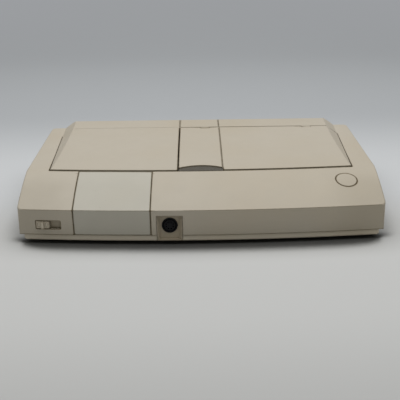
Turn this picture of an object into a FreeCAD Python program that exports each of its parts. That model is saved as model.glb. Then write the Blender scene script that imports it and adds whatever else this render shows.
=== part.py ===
import FreeCAD, Part
import math
import os
import re
import Sketcher

# Top-loading disc console. Millimetres, +Z up, front towards -Y, +X to the right.
# The origin is the bottom centre of the whole object. "Set back" below means the distance
# behind the bowed front edge, measured towards the centre of the bow.

Vector = FreeCAD.Vector

# Driving dimensions: alias, value, meaning
SIZES = [
    ("case_width", 364, "overall width"),
    ("case_depth", 236, "overall depth"),
    ("bow_rise", 9.9, "how far the front stands out at the middle"),
    ("foot_height", 4, "gap between table and base"),
    ("split_height", 10.4, "line between the two shells"),
    ("front_edge_height", 37.6, "top of the front face"),
    ("face_lean", 2.5, "undercut of the front face at the split line"),
    ("shoulder_height", 58, "flat shoulders beside the raised block"),
    ("slope_depth", 60.1, "depth of the sloping front"),
    ("slope_crown", 1.7, "bulge of the slope above its chord"),
    ("corner_front", 5, "plan radius of the front corners"),
    ("corner_rear", 6, "plan radius of the rear corners"),
    ("rear_round", 6, "radius of the rear top edge"),
    ("edge_round", 1, "radius of the crisp outer edges"),
    ("shell_wall", 2.5, "wall of the two shells"),
    ("block_lift", 0.6, "block's front edge above the shoulders"),
    ("block_rise", 9.8, "raised block at its rear edge above the shoulders"),
    ("block_crown", 2.9, "bulge of the block's top above its chord"),
    ("shoulder_front", 24.4, "width of a shoulder at the block's front"),
    ("shoulder_rear", 16.6, "width of a shoulder at the block's rear foot"),
    ("shoulder_top", 29.8, "block's top inside the side walls at the rear"),
    ("deck_drop", 6.5, "recess floor below the shoulders"),
    ("deck_wall", 2.5, "thickness of that floor"),
    ("side_gap", 0.8, "gap between the recess and lid or panel at the sides"),
    ("front_gap", 1.7, "gap in front of lid and panel"),
    ("skirt_lift", 1.5, "skirts of lid and panel above the recess floor"),
    ("lid_wall", 2.2, "skin of lid and panel"),
    ("lid_left", 23.1, "left edge of the lid, left of the middle"),
    ("strip_half", 23.6, "half width of the centre strip"),
    ("strip_gap", 1.3, "gap between left panel and lid"),
    ("strip_groove", 1, "width of the moulded line right of the strip"),
    ("groove_depth", 0.7, "depth of that line"),
    ("notch_back", 5.2, "set back of the strip's ends behind the lid's front edge"),
    ("notch_crown", 6, "rise of the notch's arc"),
    ("window_gap", 0.5, "gap round the half-moon window"),
    ("window_drop", 1, "window below the lid's surface"),
    ("hinge_back", 41.2, "lid hinge axis in front of the rear wall"),
    ("hinge_radius", 2.2, "rolled rear edge of the lid"),
    ("hinge_drop", 2.226, "lid hinge axis below the block's top"),
    ("hinge_gap", 0.4, "gap between rolled edge and rear bar"),
    ("hinge_pin_radius", 1, "lid hinge pins"),
    ("pin_clearance", 0.05, "radial running clearance"),
    ("lug_width", 10, "width of a hinge lug"),
    ("lug_left_x", 6, "first hinge lug"),
    ("lug_right_side", 39.4, "second hinge lug inside the block's foot"),
    ("lug_gap", 0.4, "gap beside a hinge lug"),
    ("pin_reach", 8, "how far a hinge pin reaches into the lid"),
    ("door_width", 75.8, "width of the card door"),
    ("door_side", 55.7, "card door inside the left wall"),
    ("door_gap", 0.5, "gap round the card door"),
    ("door_wall", 2.2, "skin of the card door"),
    ("door_rear_inset", 0.9, "rear edge of the card door in front of the slope's end"),
    ("door_axis_inset", 3.5, "card door hinge axis in front of the slope's end"),
    ("door_axis_drop", 3.8, "card door axis below the shoulders"),
    ("door_pin_radius", 1.4, "card door pivots"),
    ("door_pin_length", 3, "length of a pivot"),
    ("button_side", 34, "open button inside the right wall"),
    ("button_back", 44.3, "open button behind the front"),
    ("button_radius", 10.6, "open button"),
    ("button_gap", 0.5, "ring gap round the button"),
    ("button_skin", 2, "wall of the button"),
    ("disc_x", 67, "disc axis"),
    ("disc_back", 107.5, "disc axis in front of the rear wall"),
    ("well_radius", 62.3, "inside of the disc well"),
    ("well_wall", 1.5, "wall of the disc well"),
    ("well_depth", 5, "disc well below the recess floor"),
    ("well_lip", 66.5, "flange of the disc well"),
    ("hub_hole", 17, "hole for the turntable"),
    ("slot_width", 17, "pickup slot in the disc well"),
    ("slot_reach", 57, "outer end of the pickup slot from the disc axis"),
    ("disc_lift", 3.5, "disc above the floor of the well"),
    ("board_lift", 8, "main board above the underside"),
    ("board_thick", 1.6, "main board"),
    ("chassis_drop", 6.5, "drive chassis below the floor of the well"),
    ("chassis_thick", 2, "drive chassis plate"),
    ("rod_drop", 6, "guide rods below the chassis"),
    ("rod_radius", 1.5, "guide rods"),
    ("rod_offset", 20, "guide rods beside the disc axis"),
    ("sled_rest", 25, "lens to disc axis at rest"),
    ("rack_module", 1, "module of rack and pinion"),
    ("wheel_module", 0.6, "module of the first gear pair"),
    ("gear_backlash", 0.25, "thinning of each tooth"),
    ("slot_side", 30, "power switch inside the left wall"),
    ("slot_centre_z", 21.3, "power switch"),
    ("power_slot_length", 24.8, "power switch slot"),
    ("power_slot_height", 9, "power switch slot"),
    ("knob_length", 13, "power knob"),
    ("knob_height", 7.4, "power knob"),
    ("socket_beside", 18.8, "controller socket right of the card door"),
    ("socket_z", 19.8, "controller socket"),
    ("socket_radius", 7.85, "controller socket"),
    ("recess_beside", 6.3, "socket recess right of the card door"),
    ("recess_width", 25.1, "width of the socket recess"),
    ("recess_top", 31.5, "top of the socket recess"),
    ("recess_depth", 5, "depth of the socket recess"),
    ("recess_draft", 3.6, "width of the recess's slanted side walls"),
    ("recess_sill", 1.9, "sill under the socket recess above the underside"),
    ("board_side", 22, "main board inside the side walls"),
    ("board_rear_back", 24, "main board in front of the rear wall"),
    ("liner_side", 1.2, "lid's inner plate inside the top's edge"),
    ("liner_rear_back", 6.8, "lid's inner plate in front of the hinge axis"),
    ("knob_travel", 9.5, "travel of the power knob"),
    ("insert_gap", 0.3, "gap round an inserted piece"),
    ("card_slot_width", 56, "card slot"),
    ("card_slot_height", 4.8, "card slot"),
    ("card_slot_z", 24, "middle of the card slot"),
    ("foot_radius", 7, "rubber feet"),
    ("foot_side", 32, "feet inside the side walls"),
    ("foot_front_back", 33, "front feet behind the front"),
    ("foot_rear_back", 26, "rear feet in front of the rear wall"),
    ("base_inset", 4, "base inside the upper shell at sides and rear"),
    ("base_step", 0.9, "base behind the front face at the split line"),
    ("screw_radius", 1.5, "case screws"),
    ("screw_side", 12, "side screws inside the side walls"),
    ("screw_front_back", 58, "front side screws behind the front"),
    ("screw_rear_back", 18, "rear screws in front of the rear wall"),
    ("hook_beside", 2, "lid hook left of the button's axis"),
    ("hook_behind", 12.9, "lid hook behind the slope's end"),
    ("expansion_x", -60, "expansion port"),
    ("expansion_z", 26, "expansion port"),
    ("av_x", 70, "picture and sound socket"),
    ("av_z", 26, "picture and sound socket"),
    ("dc_x", 100, "power inlet"),
    ("dc_z", 24, "power inlet"),
    ("vent_side", 66, "first rear vent slot inside the right wall"),
    ("vent_z", 34, "rear vent slots"),
    ("liner_drop", 1.3, "lid's inner plate below the lid's front edge"),
    ("hook_reach", 9.1, "lid hook below the recess floor"),
    ("latch_drop", 4.4, "latch slider below the hook's end"),
    ("stem_drop", 7.6, "top of the button's stem below the shoulders"),
    ("stem_reach", 7, "end of the button's stem below the latch slider"),
    ("spring_length", 11, "length of the button spring"),
    ("flange_lift", 4.4, "lower rim of the button above the latch slider"),
    ("gear_beside", 14, "feed gear beside the guide rod"),
    ("gear_ahead", 38.5, "feed gear ahead of the disc axis"),
    ("rack_pitches", 13, "teeth of the rack"),
]
PLACES = [
    ("hinge_y", "case_depth / 2 - hinge_back", "lid hinge axis, behind the middle"),
    ("hinge_share", "(case_depth - hinge_back - slope_depth) / (case_depth - slope_depth)",
     "share of the block's depth in front of the hinge axis"),
    ("block_front_height", "shoulder_height + block_lift", "raised block at its front edge"),
    ("block_rear_height", "shoulder_height + block_rise", "raised block at its rear edge"),
    ("door_back", "slope_depth - door_rear_inset", "rear edge of the card door, set back"),
    ("door_axis_back", "slope_depth - door_axis_inset", "card door hinge axis, set back"),
    ("disc_y", "case_depth / 2 - disc_back", "disc axis"),
    ("foot_front_y", "foot_front_back - case_depth / 2", "rubber feet"),
    ("foot_rear_y", "case_depth / 2 - foot_rear_back", "rubber feet"),
    ("button_y", "button_back - case_depth / 2", "open button"),
    ("screw_front_y", "screw_front_back - case_depth / 2", "case screws"),
    ("screw_rear_y", "case_depth / 2 - screw_rear_back", "case screws"),
    ("hook_y", "slope_depth + hook_behind - case_depth / 2", "lid hook"),
    ("gear_y", "disc_y - gear_ahead", "feed gear axis"),
    ("motor_y", "gear_y + 46 * wheel_module / 2", "sled motor axis"),
    ("gear_x", "disc_x + rod_offset + gear_beside", "feed gear axis"),
    ("motor_x", "gear_x", "sled motor axis"),
    ("button_x", "case_width / 2 - button_side", "open button"),
    ("foot_x", "case_width / 2 - foot_side", "rubber feet"),
    ("screw_side_x", "case_width / 2 - screw_side", "case screws"),
    ("block_front_half", "case_width / 2 - shoulder_front", "half width of the block at its front"),
    ("block_foot_half", "case_width / 2 - shoulder_rear", "half width of the block's foot at the rear"),
    ("block_top_half", "case_width / 2 - shoulder_top", "half width of the block's top at the rear"),
    ("slot_centre_x", "slot_side - case_width / 2", "power switch"),
    ("door_left", "case_width / 2 - door_side", "left edge of the card door, left of the middle"),
    ("door_right", "door_left - door_width", "right edge of the card door, left of the middle"),
    ("socket_x", "socket_beside - door_right", "controller socket"),
    ("recess_left", "door_right - recess_beside", "left edge of the socket recess, left of the middle"),
    ("recess_right", "recess_left - recess_width", "right edge of the socket recess, left of the middle"),
    ("board_half", "case_width / 2 - board_side", "half width of the main board"),
    ("board_rear_y", "case_depth / 2 - board_rear_back", "rear edge of the main board"),
    ("liner_right", "block_top_half - liner_side", "right edge of the lid's inner plate"),
    ("liner_rear_y", "hinge_y - liner_rear_back", "rear edge of the lid's inner plate"),
    ("lug_right_x", "block_foot_half - lug_right_side", "second hinge lug"),
    ("hook_x", "button_x - hook_beside", "lid hook"),
    ("deck_height", "shoulder_height - deck_drop", "floor of the recess under lid and panel"),
    ("skirt_height", "deck_height + skirt_lift", "lower edge of the skirts of lid and panel"),
    ("liner_top", "block_front_height - liner_drop", "top of the lid's inner plate"),
    ("well_floor", "deck_height - well_depth", "floor of the disc well"),
    ("disc_seat", "well_floor + disc_lift", "height of the disc's underside"),
    ("chassis_height", "well_floor - chassis_drop", "underside of the drive chassis"),
    ("rod_height", "chassis_height - rod_drop", "guide rod axis"),
    ("hook_low", "deck_height - hook_reach", "lower end of the lid hook"),
    ("latch_low", "hook_low - latch_drop", "underside of the latch slider"),
    ("button_low", "latch_low + flange_lift", "lower rim of the open button"),
    ("stem_top", "shoulder_height - stem_drop", "top of the button's stem"),
    ("spring_high", "latch_low - stem_reach", "upper end of the button spring"),
    ("spring_low", "spring_high - spring_length", "lower end of the button spring"),
    ("door_axis_height", "shoulder_height - door_axis_drop", "card door hinge axis above the table"),
    ("hinge_height", "block_front_height + (block_rear_height - block_front_height) * hinge_share"
     " + 4 * block_crown * hinge_share * (1 - hinge_share) - hinge_drop", "lid hinge axis above the table"),
    ("board_height", "foot_height + board_lift", "underside of the main board"),
    ("vent_x", "case_width / 2 - vent_side", "first rear vent slot"),
]
ALIASES = {row[0] for row in SIZES + PLACES}

doc = FreeCAD.newDocument("console")


def fill_sheet():
    sheet = doc.addObject("Spreadsheet::Sheet", "sizes")
    places = [(alias, "=" + formula, meaning) for alias, formula, meaning in PLACES]
    for index, (alias, value, meaning) in enumerate(SIZES + places, start=1):
        sheet.set(f"A{index}", alias)
        sheet.set(f"B{index}", str(value))
        sheet.setAlias(f"B{index}", alias)
        sheet.set(f"C{index}", meaning)
    doc.recompute()


fill_sheet()
probe = doc.addObject("App::FeaturePython", "probe")
nodes = {}


def cell(text):
    """The expression with the sheet's name before each alias."""
    return re.sub(r"[a-z_]+", lambda m: "sizes." + m.group(0) if m.group(0) in ALIASES else m.group(0),
                  str(text))


def num(text):
    return float(probe.evalExpression(cell(text)))


# Expressions that many pieces share
BOW_RADIUS = "(((case_width / 2)^2 + bow_rise^2) / (2 * bow_rise))"
BOW_CENTRE = f"({BOW_RADIUS} - case_depth / 2)"
BACK = "case_depth / 2"
SEAM_Y = "(hinge_y + hinge_radius + hinge_gap)"


def bow_y(x, set_back):
    """Y of the point at x on the arc that lies set_back behind the front edge."""
    return f"({BOW_CENTRE} - sqrt(({BOW_RADIUS} - ({set_back}))^2 - ({x})^2))"


def bulge(share, start, end, crown):
    """Height at a share of the way along an arc that bulges by crown above its chord."""
    return f"(({start}) + (({end}) - ({start})) * {share} + 4 * ({crown}) * {share} * (1 - {share}))"


def set_back_of(x, y):
    return f"({BOW_RADIUS} - sqrt(({x})^2 + (({y}) - {BOW_CENTRE})^2))"


def case_top(x, y):
    """Height of the slope, or of the shoulder behind it."""
    share = f"min(1; {set_back_of(x, y)} / slope_depth)"
    return bulge(share, "front_edge_height", "shoulder_height", "slope_crown")


def block_top(x, y):
    """Height of the raised block's convex top."""
    share = f"(({set_back_of(x, y)} - slope_depth) / (case_depth - slope_depth))"
    return bulge(share, "block_front_height", "block_rear_height", "block_crown")


# Sketches, pads and primitives


def body_plane(body, role):
    return next(feature for feature in body.Origin.OriginFeatures if feature.Role == role)


def arc_middle(start, end, crown):
    """Middle point of an arc that bulges by crown to the right of the way from start to end."""
    along = end.sub(start)
    side = Vector(along.y, -along.x, 0).normalize()
    return start.add(end).multiply(0.5).add(side.multiply(crown))


def draw(body, name, role, points, offset, arcs=None, shift="0"):
    """Closed sketch through points of expressions. arcs gives a crown for the edge after a point."""
    arcs = arcs or {}
    sketch = body.newObject("Sketcher::SketchObject", name)
    sketch.AttachmentSupport = [(body_plane(body, role), "")]
    sketch.MapMode = "FlatFace"
    sketch.setExpression("AttachmentOffset.Base.x", cell(shift))
    sketch.setExpression("AttachmentOffset.Base.z", cell(offset))
    spots = [Vector(num(x), num(y), 0) for x, y in points]
    count = len(points)
    ends = []
    for index in range(count):
        start, end = spots[index], spots[(index + 1) % count]
        forward = True
        if index in arcs:
            crown = num(arcs[index])
            middle = arc_middle(start, end, crown)
            forward = crown > 0
            first, last = (start, end) if forward else (end, start)
            sketch.addGeometry(Part.Arc(first, middle, last), False)
        else:
            sketch.addGeometry(Part.LineSegment(start, end), False)
        ends.append((1, 2) if forward else (2, 1))
    for index in range(count):
        following = (index + 1) % count
        sketch.addConstraint(Sketcher.Constraint("Coincident", index, ends[index][1], following,
                                                 ends[following][0]))
    for index, (x, y) in enumerate(points):
        for kind, text, value in (("DistanceX", x, spots[index].x), ("DistanceY", y, spots[index].y)):
            number = sketch.addConstraint(Sketcher.Constraint(kind, -1, 1, index, ends[index][0], value))
            sketch.setExpression(f"Constraints[{number}]", cell(text))
    for index in arcs:
        radius = sketch.Geometry[index].Radius
        number = sketch.addConstraint(Sketcher.Constraint("Radius", index, radius))
        half = f"(({points[(index + 1) % count][0]} - ({points[index][0]}))^2"
        half += f" + ({points[(index + 1) % count][1]} - ({points[index][1]}))^2) / 4"
        crown = f"abs({arcs[index]})"
        sketch.setExpression(f"Constraints[{number}]", cell(f"({half} + {crown}^2) / (2 * {crown})"))
    return sketch


def circle_sketch(body, name, role, centre, radius, offset):
    sketch = body.newObject("Sketcher::SketchObject", name)
    sketch.AttachmentSupport = [(body_plane(body, role), "")]
    sketch.MapMode = "FlatFace"
    sketch.setExpression("AttachmentOffset.Base.z", cell(offset))
    spot = Vector(num(centre[0]), num(centre[1]), 0)
    sketch.addGeometry(Part.Circle(spot, Vector(0, 0, 1), num(radius)), False)
    for kind, text, value in (("DistanceX", centre[0], spot.x), ("DistanceY", centre[1], spot.y)):
        number = sketch.addConstraint(Sketcher.Constraint(kind, -1, 1, 0, 3, value))
        sketch.setExpression(f"Constraints[{number}]", cell(text))
    number = sketch.addConstraint(Sketcher.Constraint("Radius", 0, num(radius)))
    sketch.setExpression(f"Constraints[{number}]", cell(radius))
    return sketch


def pad_sketch(body, sketch, length):
    pad = body.newObject("PartDesign::Pad", sketch.Name + "_pad")
    pad.Profile = sketch
    pad.setExpression("Length", cell(length))
    return pad


def pocket_sketch(body, sketch, length, reversed_way=False):
    pocket = body.newObject("PartDesign::Pocket", sketch.Name + "_pocket")
    pocket.Profile = sketch
    pocket.setExpression("Length", cell(length))
    pocket.Reversed = reversed_way
    return pocket


PLANE = {"Z": "XY_Plane", "Y": "XZ_Plane", "X": "YZ_Plane"}


def sketch_offset(axis, low, high):
    return f"-({high})" if axis == "Y" else low


def prism(name, axis, points, low, high, arcs=None):
    """Body padded along an axis from low to high. Points are (x, y), (x, z) or (y, z)."""
    body = doc.addObject("PartDesign::Body", name)
    sketch = draw(body, name + "_outline", PLANE[axis], points, sketch_offset(axis, low, high), arcs)
    pad_sketch(body, sketch, f"({high}) - ({low})")
    return body


def box(name, low, high):
    shape = doc.addObject("Part::Box", name)
    for size, index in (("Length", 0), ("Width", 1), ("Height", 2)):
        shape.setExpression(size, cell(f"({high[index]}) - ({low[index]})"))
    place(shape, low)
    return shape


TURN = {
    "Z": FreeCAD.Rotation(),
    "Y": FreeCAD.Rotation(Vector(1, 0, 0), -90),
    "X": FreeCAD.Rotation(Vector(0, 1, 0), 90),
}


def place(shape, spot):
    for letter, text in zip("xyz", spot):
        shape.setExpression(f"Placement.Base.{letter}", cell(text))


def cylinder(name, axis, start, radius, length):
    """Cylinder from start along +axis."""
    shape = doc.addObject("Part::Cylinder", name)
    shape.setExpression("Radius", cell(radius))
    shape.setExpression("Height", cell(length))
    shape.Placement = FreeCAD.Placement(Vector(), TURN[axis])
    place(shape, start)
    return shape


def stub(name, start, radius, length, sides=8, axis="Z"):
    """Plain many-sided post or hole for places out of view."""
    shape = doc.addObject("Part::Prism", name)
    shape.Polygon = sides
    shape.setExpression("Circumradius", cell(radius))
    shape.setExpression("Height", cell(length))
    shape.Placement = FreeCAD.Placement(Vector(), TURN[axis])
    place(shape, start)
    return shape


def cone(name, axis, start, radius_low, radius_high, length):
    shape = doc.addObject("Part::Cone", name)
    shape.setExpression("Radius1", cell(radius_low))
    shape.setExpression("Radius2", cell(radius_high))
    shape.setExpression("Height", cell(length))
    shape.Placement = FreeCAD.Placement(Vector(), TURN[axis])
    place(shape, start)
    return shape


def cut(name, base, *tools):
    tool = tools[0] if len(tools) == 1 else fuse(name + "_tools", *tools)
    shape = doc.addObject("Part::Cut", name)
    shape.Base = base
    shape.Tool = tool
    return shape


def fuse(name, *pieces):
    shape = doc.addObject("Part::MultiFuse", name)
    shape.Shapes = list(pieces)
    return shape


def common(name, first, second):
    shape = doc.addObject("Part::Common", name)
    shape.Base = first
    shape.Tool = second
    return shape


def group(name, *pieces):
    """Separate solids that share one node."""
    shape = doc.addObject("Part::Compound", name)
    shape.Links = list(pieces)
    return shape


def coded(name, solid):
    shape = doc.addObject("Part::Feature", name)
    shape.Shape = solid
    return shape


def node(name, shape):
    shape.Label = name
    nodes[name] = shape
    return shape


def edges_where(shape, test):
    return [f"Edge{index}" for index, edge in enumerate(shape.Edges, start=1) if test(edge)]


def fillet_edges(body, name, test, radius):
    doc.recompute()
    base = body.Tip
    names = edges_where(base.Shape, test)
    if not names:
        raise ValueError(f"{name}: no edge found")
    fillet = body.newObject("PartDesign::Fillet", name)
    fillet.Base = (base, names)
    fillet.setExpression("Radius", cell(radius))
    return fillet


def bevel_edges(body, name, test, size):
    doc.recompute()
    base = body.Tip
    names = edges_where(base.Shape, test)
    if not names:
        raise ValueError(f"{name}: no edge found")
    bevel = body.newObject("PartDesign::Chamfer", name)
    bevel.Base = (base, names)
    bevel.setExpression("Size", cell(size))
    return bevel


def is_upright(edge, x, y, reach):
    """True for a vertical edge near a plan position."""
    first, last = edge.Vertexes[0].Point, edge.Vertexes[-1].Point
    upright = abs(first.x - last.x) < 1e-3 and abs(first.y - last.y) < 1e-3
    return upright and abs(first.x - x) < reach and abs(first.y - y) < reach


# Shared forms


def case_outline(inset):
    """Plan outline with the bowed front, inset all round."""
    half = f"(case_width / 2 - ({inset}))"
    front = bow_y(half, inset)
    rear = f"{BACK} - ({inset})"
    return [(f"-{half}", front), (half, front), (half, rear), (f"-{half}", rear)]


def bow_crown(half, set_back):
    """Crown of the front arc between -half and half."""
    radius = f"({BOW_RADIUS} - ({set_back}))"
    return f"({radius} - sqrt({radius}^2 - ({half})^2))"


def groove_profile(body, name, points, arcs):
    """Turned cut round the centre of the bow. Points are (set back, height)."""
    local = [(f"({set_back}) - {BOW_RADIUS}", height) for set_back, height in points]
    sketch = draw(body, name, "YZ_Plane", local, "0", arcs, shift=BOW_CENTRE)
    doc.recompute()
    groove = body.newObject("PartDesign::Groove", name + "_groove")
    groove.Profile = sketch
    groove.ReferenceAxis = (sketch, ["V_Axis"])
    groove.Angle = 24
    groove.Midplane = True
    return groove


def round_corners(body, name, inset):
    half = num(f"case_width / 2 - ({inset})")
    front = num(bow_y(half, inset))
    rear = num(f"{BACK} - ({inset})")
    fillet_edges(body, name + "_front_corners",
                 lambda e: is_upright(e, half, front, 0.5) or is_upright(e, -half, front, 0.5),
                 f"corner_front - ({inset}) / 2")
    fillet_edges(body, name + "_rear_corners",
                 lambda e: is_upright(e, half, rear, 0.5) or is_upright(e, -half, rear, 0.5),
                 f"corner_rear - ({inset}) / 2")


FORM_TOP = "(block_rear_height + 20)"


def case_form(name, drop, low):
    """The upper shell's outer form, or the same form pulled in by drop."""
    body = doc.addObject("PartDesign::Body", name)
    half = f"(case_width / 2 - ({drop}))"
    outline = draw(body, name + "_outline", "XY_Plane", case_outline(drop), low, {0: bow_crown(half, drop)})
    pad_sketch(body, outline, f"{FORM_TOP} - ({low})")
    round_corners(body, name, drop)
    top = [
        ("0", f"front_edge_height - ({drop})"),
        ("slope_depth", f"shoulder_height - ({drop})"),
        ("case_depth + 30", f"shoulder_height - ({drop})"),
        ("case_depth + 30", f"{FORM_TOP} + 10"),
        ("-20", f"{FORM_TOP} + 10"),
        ("-20", f"front_edge_height - ({drop})"),
    ]
    groove_profile(body, name + "_top", top, {0: "-slope_crown"})
    lean_rate = "(face_lean / (front_edge_height - split_height))"
    face = [
        (f"{drop}", "front_edge_height"),
        ("-20", "front_edge_height"),
        ("-20", "0"),
        (f"({drop}) + {lean_rate} * front_edge_height", "0"),
    ]
    groove_profile(body, name + "_face", face, {})
    return body


def block_outline(low_back, high_y, widen):
    """Plan of the raised block's foot from low_back to high_y, widened sideways."""
    front_half = f"(block_front_half + ({widen}))"
    rear_half = f"(block_foot_half + ({widen}))"
    front_y = bow_y(front_half, low_back)
    rate = f"(({rear_half} - {front_half}) / ({BACK} - ({bow_y(front_half, 'slope_depth')})))"
    rear = f"({front_half} + {rate} * (({high_y}) - ({bow_y(front_half, 'slope_depth')})))"
    return [(f"-{front_half}", front_y), (front_half, front_y), (rear, high_y),
            (f"-{rear}", high_y)], front_half


def block_form(name, drop, low):
    """The raised block with its convex top, before its sides are slanted."""
    body = doc.addObject("PartDesign::Body", name)
    points, half = block_outline("slope_depth - 6", BACK + f" - ({drop})", "0")
    outline = draw(body, name + "_outline", "XY_Plane", points, low,
                   {0: bow_crown(half, "slope_depth - 6")})
    pad_sketch(body, outline, f"{FORM_TOP} - ({low})")
    top = [
        ("slope_depth", f"block_front_height - ({drop})"),
        ("case_depth", f"block_rear_height - ({drop})"),
        ("case_depth + 30", f"block_rear_height - ({drop})"),
        ("case_depth + 30", f"{FORM_TOP} + 10"),
        ("slope_depth - 20", f"{FORM_TOP} + 10"),
        ("slope_depth - 20", f"block_front_height - ({drop})"),
    ]
    groove_profile(body, name + "_top", top, {0: "-block_crown"})
    return body


def side_cutter(name, side, inset):
    """Wedge that slants one side of the raised block, from the foot line up to the top line."""
    front = Vector(side * num("block_front_half"), num(bow_y("block_front_half", "slope_depth")),
                   num("shoulder_height"))
    foot = Vector(side * num("block_foot_half"), num(BACK), num("shoulder_height"))
    top = Vector(side * num("block_top_half"), num(BACK), num("block_rear_height"))
    along = foot.sub(front).normalize()
    out = along.cross(top.sub(front)).normalize()
    if out.x * side < 0:
        out = out.multiply(-1)
    up = Vector(top.sub(front)).sub(Vector(along).multiply(along.dot(top.sub(front)))).normalize()
    reach, thick, below = 60, 40, 0 if inset == 0 else 30
    start = front.sub(Vector(along).multiply(reach)).sub(Vector(out).multiply(inset))
    end = foot.add(Vector(along).multiply(reach)).sub(Vector(out).multiply(inset))
    corners = [
        start.sub(Vector(up).multiply(below)),
        end.sub(Vector(up).multiply(below)),
        end.add(Vector(up).multiply(reach)),
        start.add(Vector(up).multiply(reach)),
    ]
    face = Part.Face(Part.makePolygon(corners + corners[:1]))
    return coded(name, face.extrude(out.multiply(thick)))


def side_cutters(name, inset):
    return [side_cutter(f"{name}_{word}", side, inset) for word, side in (("left", -1), ("right", 1))]


# Upper shell


def recess_prism(name, widen, low, high_y):
    """The recess that lid and panel sit in."""
    points, half = block_outline(f"slope_depth - ({widen})", high_y, f"side_gap + ({widen})")
    return prism(name, "Z", points, low, FORM_TOP, {0: bow_crown(half, f"slope_depth - ({widen})")})


def rear_bar():
    """Raised bar behind lid and panel, part of the upper shell."""
    body = block_form("bar_block", "0", "shoulder_height - shell_wall / 2")
    keep = prism("bar_keep", "X", [
        (SEAM_Y, "0"), (BACK, "0"), (BACK, "block_rear_height - rear_round"),
        (f"{BACK} - rear_round", "block_rear_height"), (f"{BACK} - rear_round", FORM_TOP), (SEAM_Y,
                                                                                            FORM_TOP)],
        "-case_width", "case_width", {2: "rear_round * (1 - sqrt(0.5))"})
    trimmed = common("bar_trimmed", body, keep)
    seam = box("bar_seam", ("-lid_left - strip_gap", f"{SEAM_Y} - 1", "0"),
               ("-lid_left", "case_depth", FORM_TOP))
    line = box("bar_line", ("strip_half * 0.97 - strip_groove", f"{SEAM_Y} - 1", "0"),
               ("strip_half * 0.97", "case_depth", FORM_TOP))
    floor = block_form("bar_seam_block", "groove_depth", "shoulder_height - 4")
    lines = cut("bar_lines", fuse("bar_lines_full", seam, line), floor)
    return cut("rear_bar", trimmed, *side_cutters("bar_side", 0), lines)


def case_cavity():
    """Inside of the upper shell: below the deck, under slope and shoulders, and in the rear bar."""
    low = "split_height - 5"
    under = common("cavity_under", case_form("cavity_low", "shell_wall", low),
                   box("cavity_low_keep", ("-case_width", "-case_depth", low),
                       ("case_width", "case_depth", "deck_height - deck_wall")))
    high_form = case_form("cavity_high", "shell_wall", "deck_height - deck_wall - 4")
    around = cut("cavity_around", high_form,
                 recess_prism("cavity_island", "shell_wall", "0", f"{SEAM_Y} + shell_wall"))
    bar_form = block_form("cavity_bar_form", "shell_wall", "shoulder_height - 8")
    bar_keep = box("cavity_bar_keep", ("-block_foot_half + 4", f"{SEAM_Y} + shell_wall", "0"),
                   ("block_foot_half - 4", f"{BACK} - rear_round", FORM_TOP))
    bar_room = cut("cavity_bar", common("cavity_bar_box", bar_form, bar_keep),
                   *side_cutters("cavity_side", 4))
    return [under, around, bar_room]


def door_cutters():
    left, right = "-(door_left + door_gap)", "-(door_right - door_gap)"
    return [
        prism("door_cut_front", "Z", door_outline(left, right, "-8", "door_axis_back - 6"), "0", FORM_TOP),
        prism("door_cut_rear", "Z", door_outline(left, right, "-8", "slope_depth + 0.5"),
              "deck_height - 0.4", FORM_TOP),
    ]


def door_outline(left, right, low_back, high_back):
    """Plan strip between two set backs, with straight ends."""
    return [
        (left, bow_y(left, low_back)),
        (right, bow_y(right, low_back)),
        (right, bow_y(right, high_back)),
        (left, bow_y(left, high_back)),
    ]


DOOR_MIDDLE = "(-(door_left + door_right) / 2)"
DOOR_AXIS_Y = bow_y(DOOR_MIDDLE, "door_axis_back")
DOOR_TANGENT = f"({DOOR_MIDDLE} / sqrt({BOW_RADIUS}^2 - {DOOR_MIDDLE}^2))"


def door_axis_y(x):
    """The door turns about a line parallel to the bow's tangent at its own middle."""
    return f"({DOOR_AXIS_Y} + (({x}) - {DOOR_MIDDLE}) * {DOOR_TANGENT})"


def along_door(name, start_x, radius, length):
    """Cylinder on the door's axis, starting at the given x."""
    shape = doc.addObject("Part::Cylinder", name)
    shape.setExpression("Radius", cell(radius))
    shape.setExpression("Height", cell(length))
    start = Vector(num(start_x), num(door_axis_y(start_x)), num("door_axis_height"))
    yaw = FreeCAD.Rotation(Vector(0, 0, 1), math.degrees(math.atan(num(DOOR_TANGENT))))
    shape.Placement = FreeCAD.Placement(start, yaw.multiply(FreeCAD.Rotation(Vector(0, 1, 0), 90)))
    return shape


def door_bearings():
    """Blocks under the slope that carry the door's pivots."""
    pieces = []
    depth = "3.6"
    for word, inner, sign in (("left", "-(door_left + door_gap)", "-1"),
                              ("right", "-(door_right - door_gap)", "1")):
        far = f"{inner} + ({sign}) * (door_pin_length + 1.6)"
        low_x, high_x = (far, inner) if sign == "-1" else (inner, far)
        pieces.append(box(f"bearing_{word}_block",
                          (low_x, f"{door_axis_y(inner)} - {depth}", "door_axis_height - 4"),
                          (high_x, f"{door_axis_y(inner)} + {depth}", "door_axis_height + 1.8")))
    return pieces


def door_bearing_bores():
    left = along_door("bearing_left_bore", "-(door_left + door_gap) - door_pin_length - 0.2",
                      "door_pin_radius + pin_clearance", "door_pin_length + 1")
    right = along_door("bearing_right_bore", "-(door_right - door_gap) - 0.8",
                       "door_pin_radius + pin_clearance", "door_pin_length + 1")
    return [left, right]


def turned_box(name, centre, size):
    """Box on the bowed face, turned to lie along it. Centre is (along, into the case, up)."""
    shape = doc.addObject("Part::Box", name)
    for word, text in zip(("Length", "Width", "Height"), size):
        shape.setExpression(word, cell(text))
    yaw = math.asin(num("slot_centre_x") / num(BOW_RADIUS))
    base = Vector(num("slot_centre_x"), num(bow_y("slot_centre_x", power_set_back())), num("slot_centre_z"))
    local = Vector(*[num(f"{c} - ({s}) / 2") for c, s in zip(centre, size)])
    turn = FreeCAD.Rotation(Vector(0, 0, 1), math.degrees(yaw))
    shape.Placement = FreeCAD.Placement(base.add(turn.multVec(local)), turn)
    return shape


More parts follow.
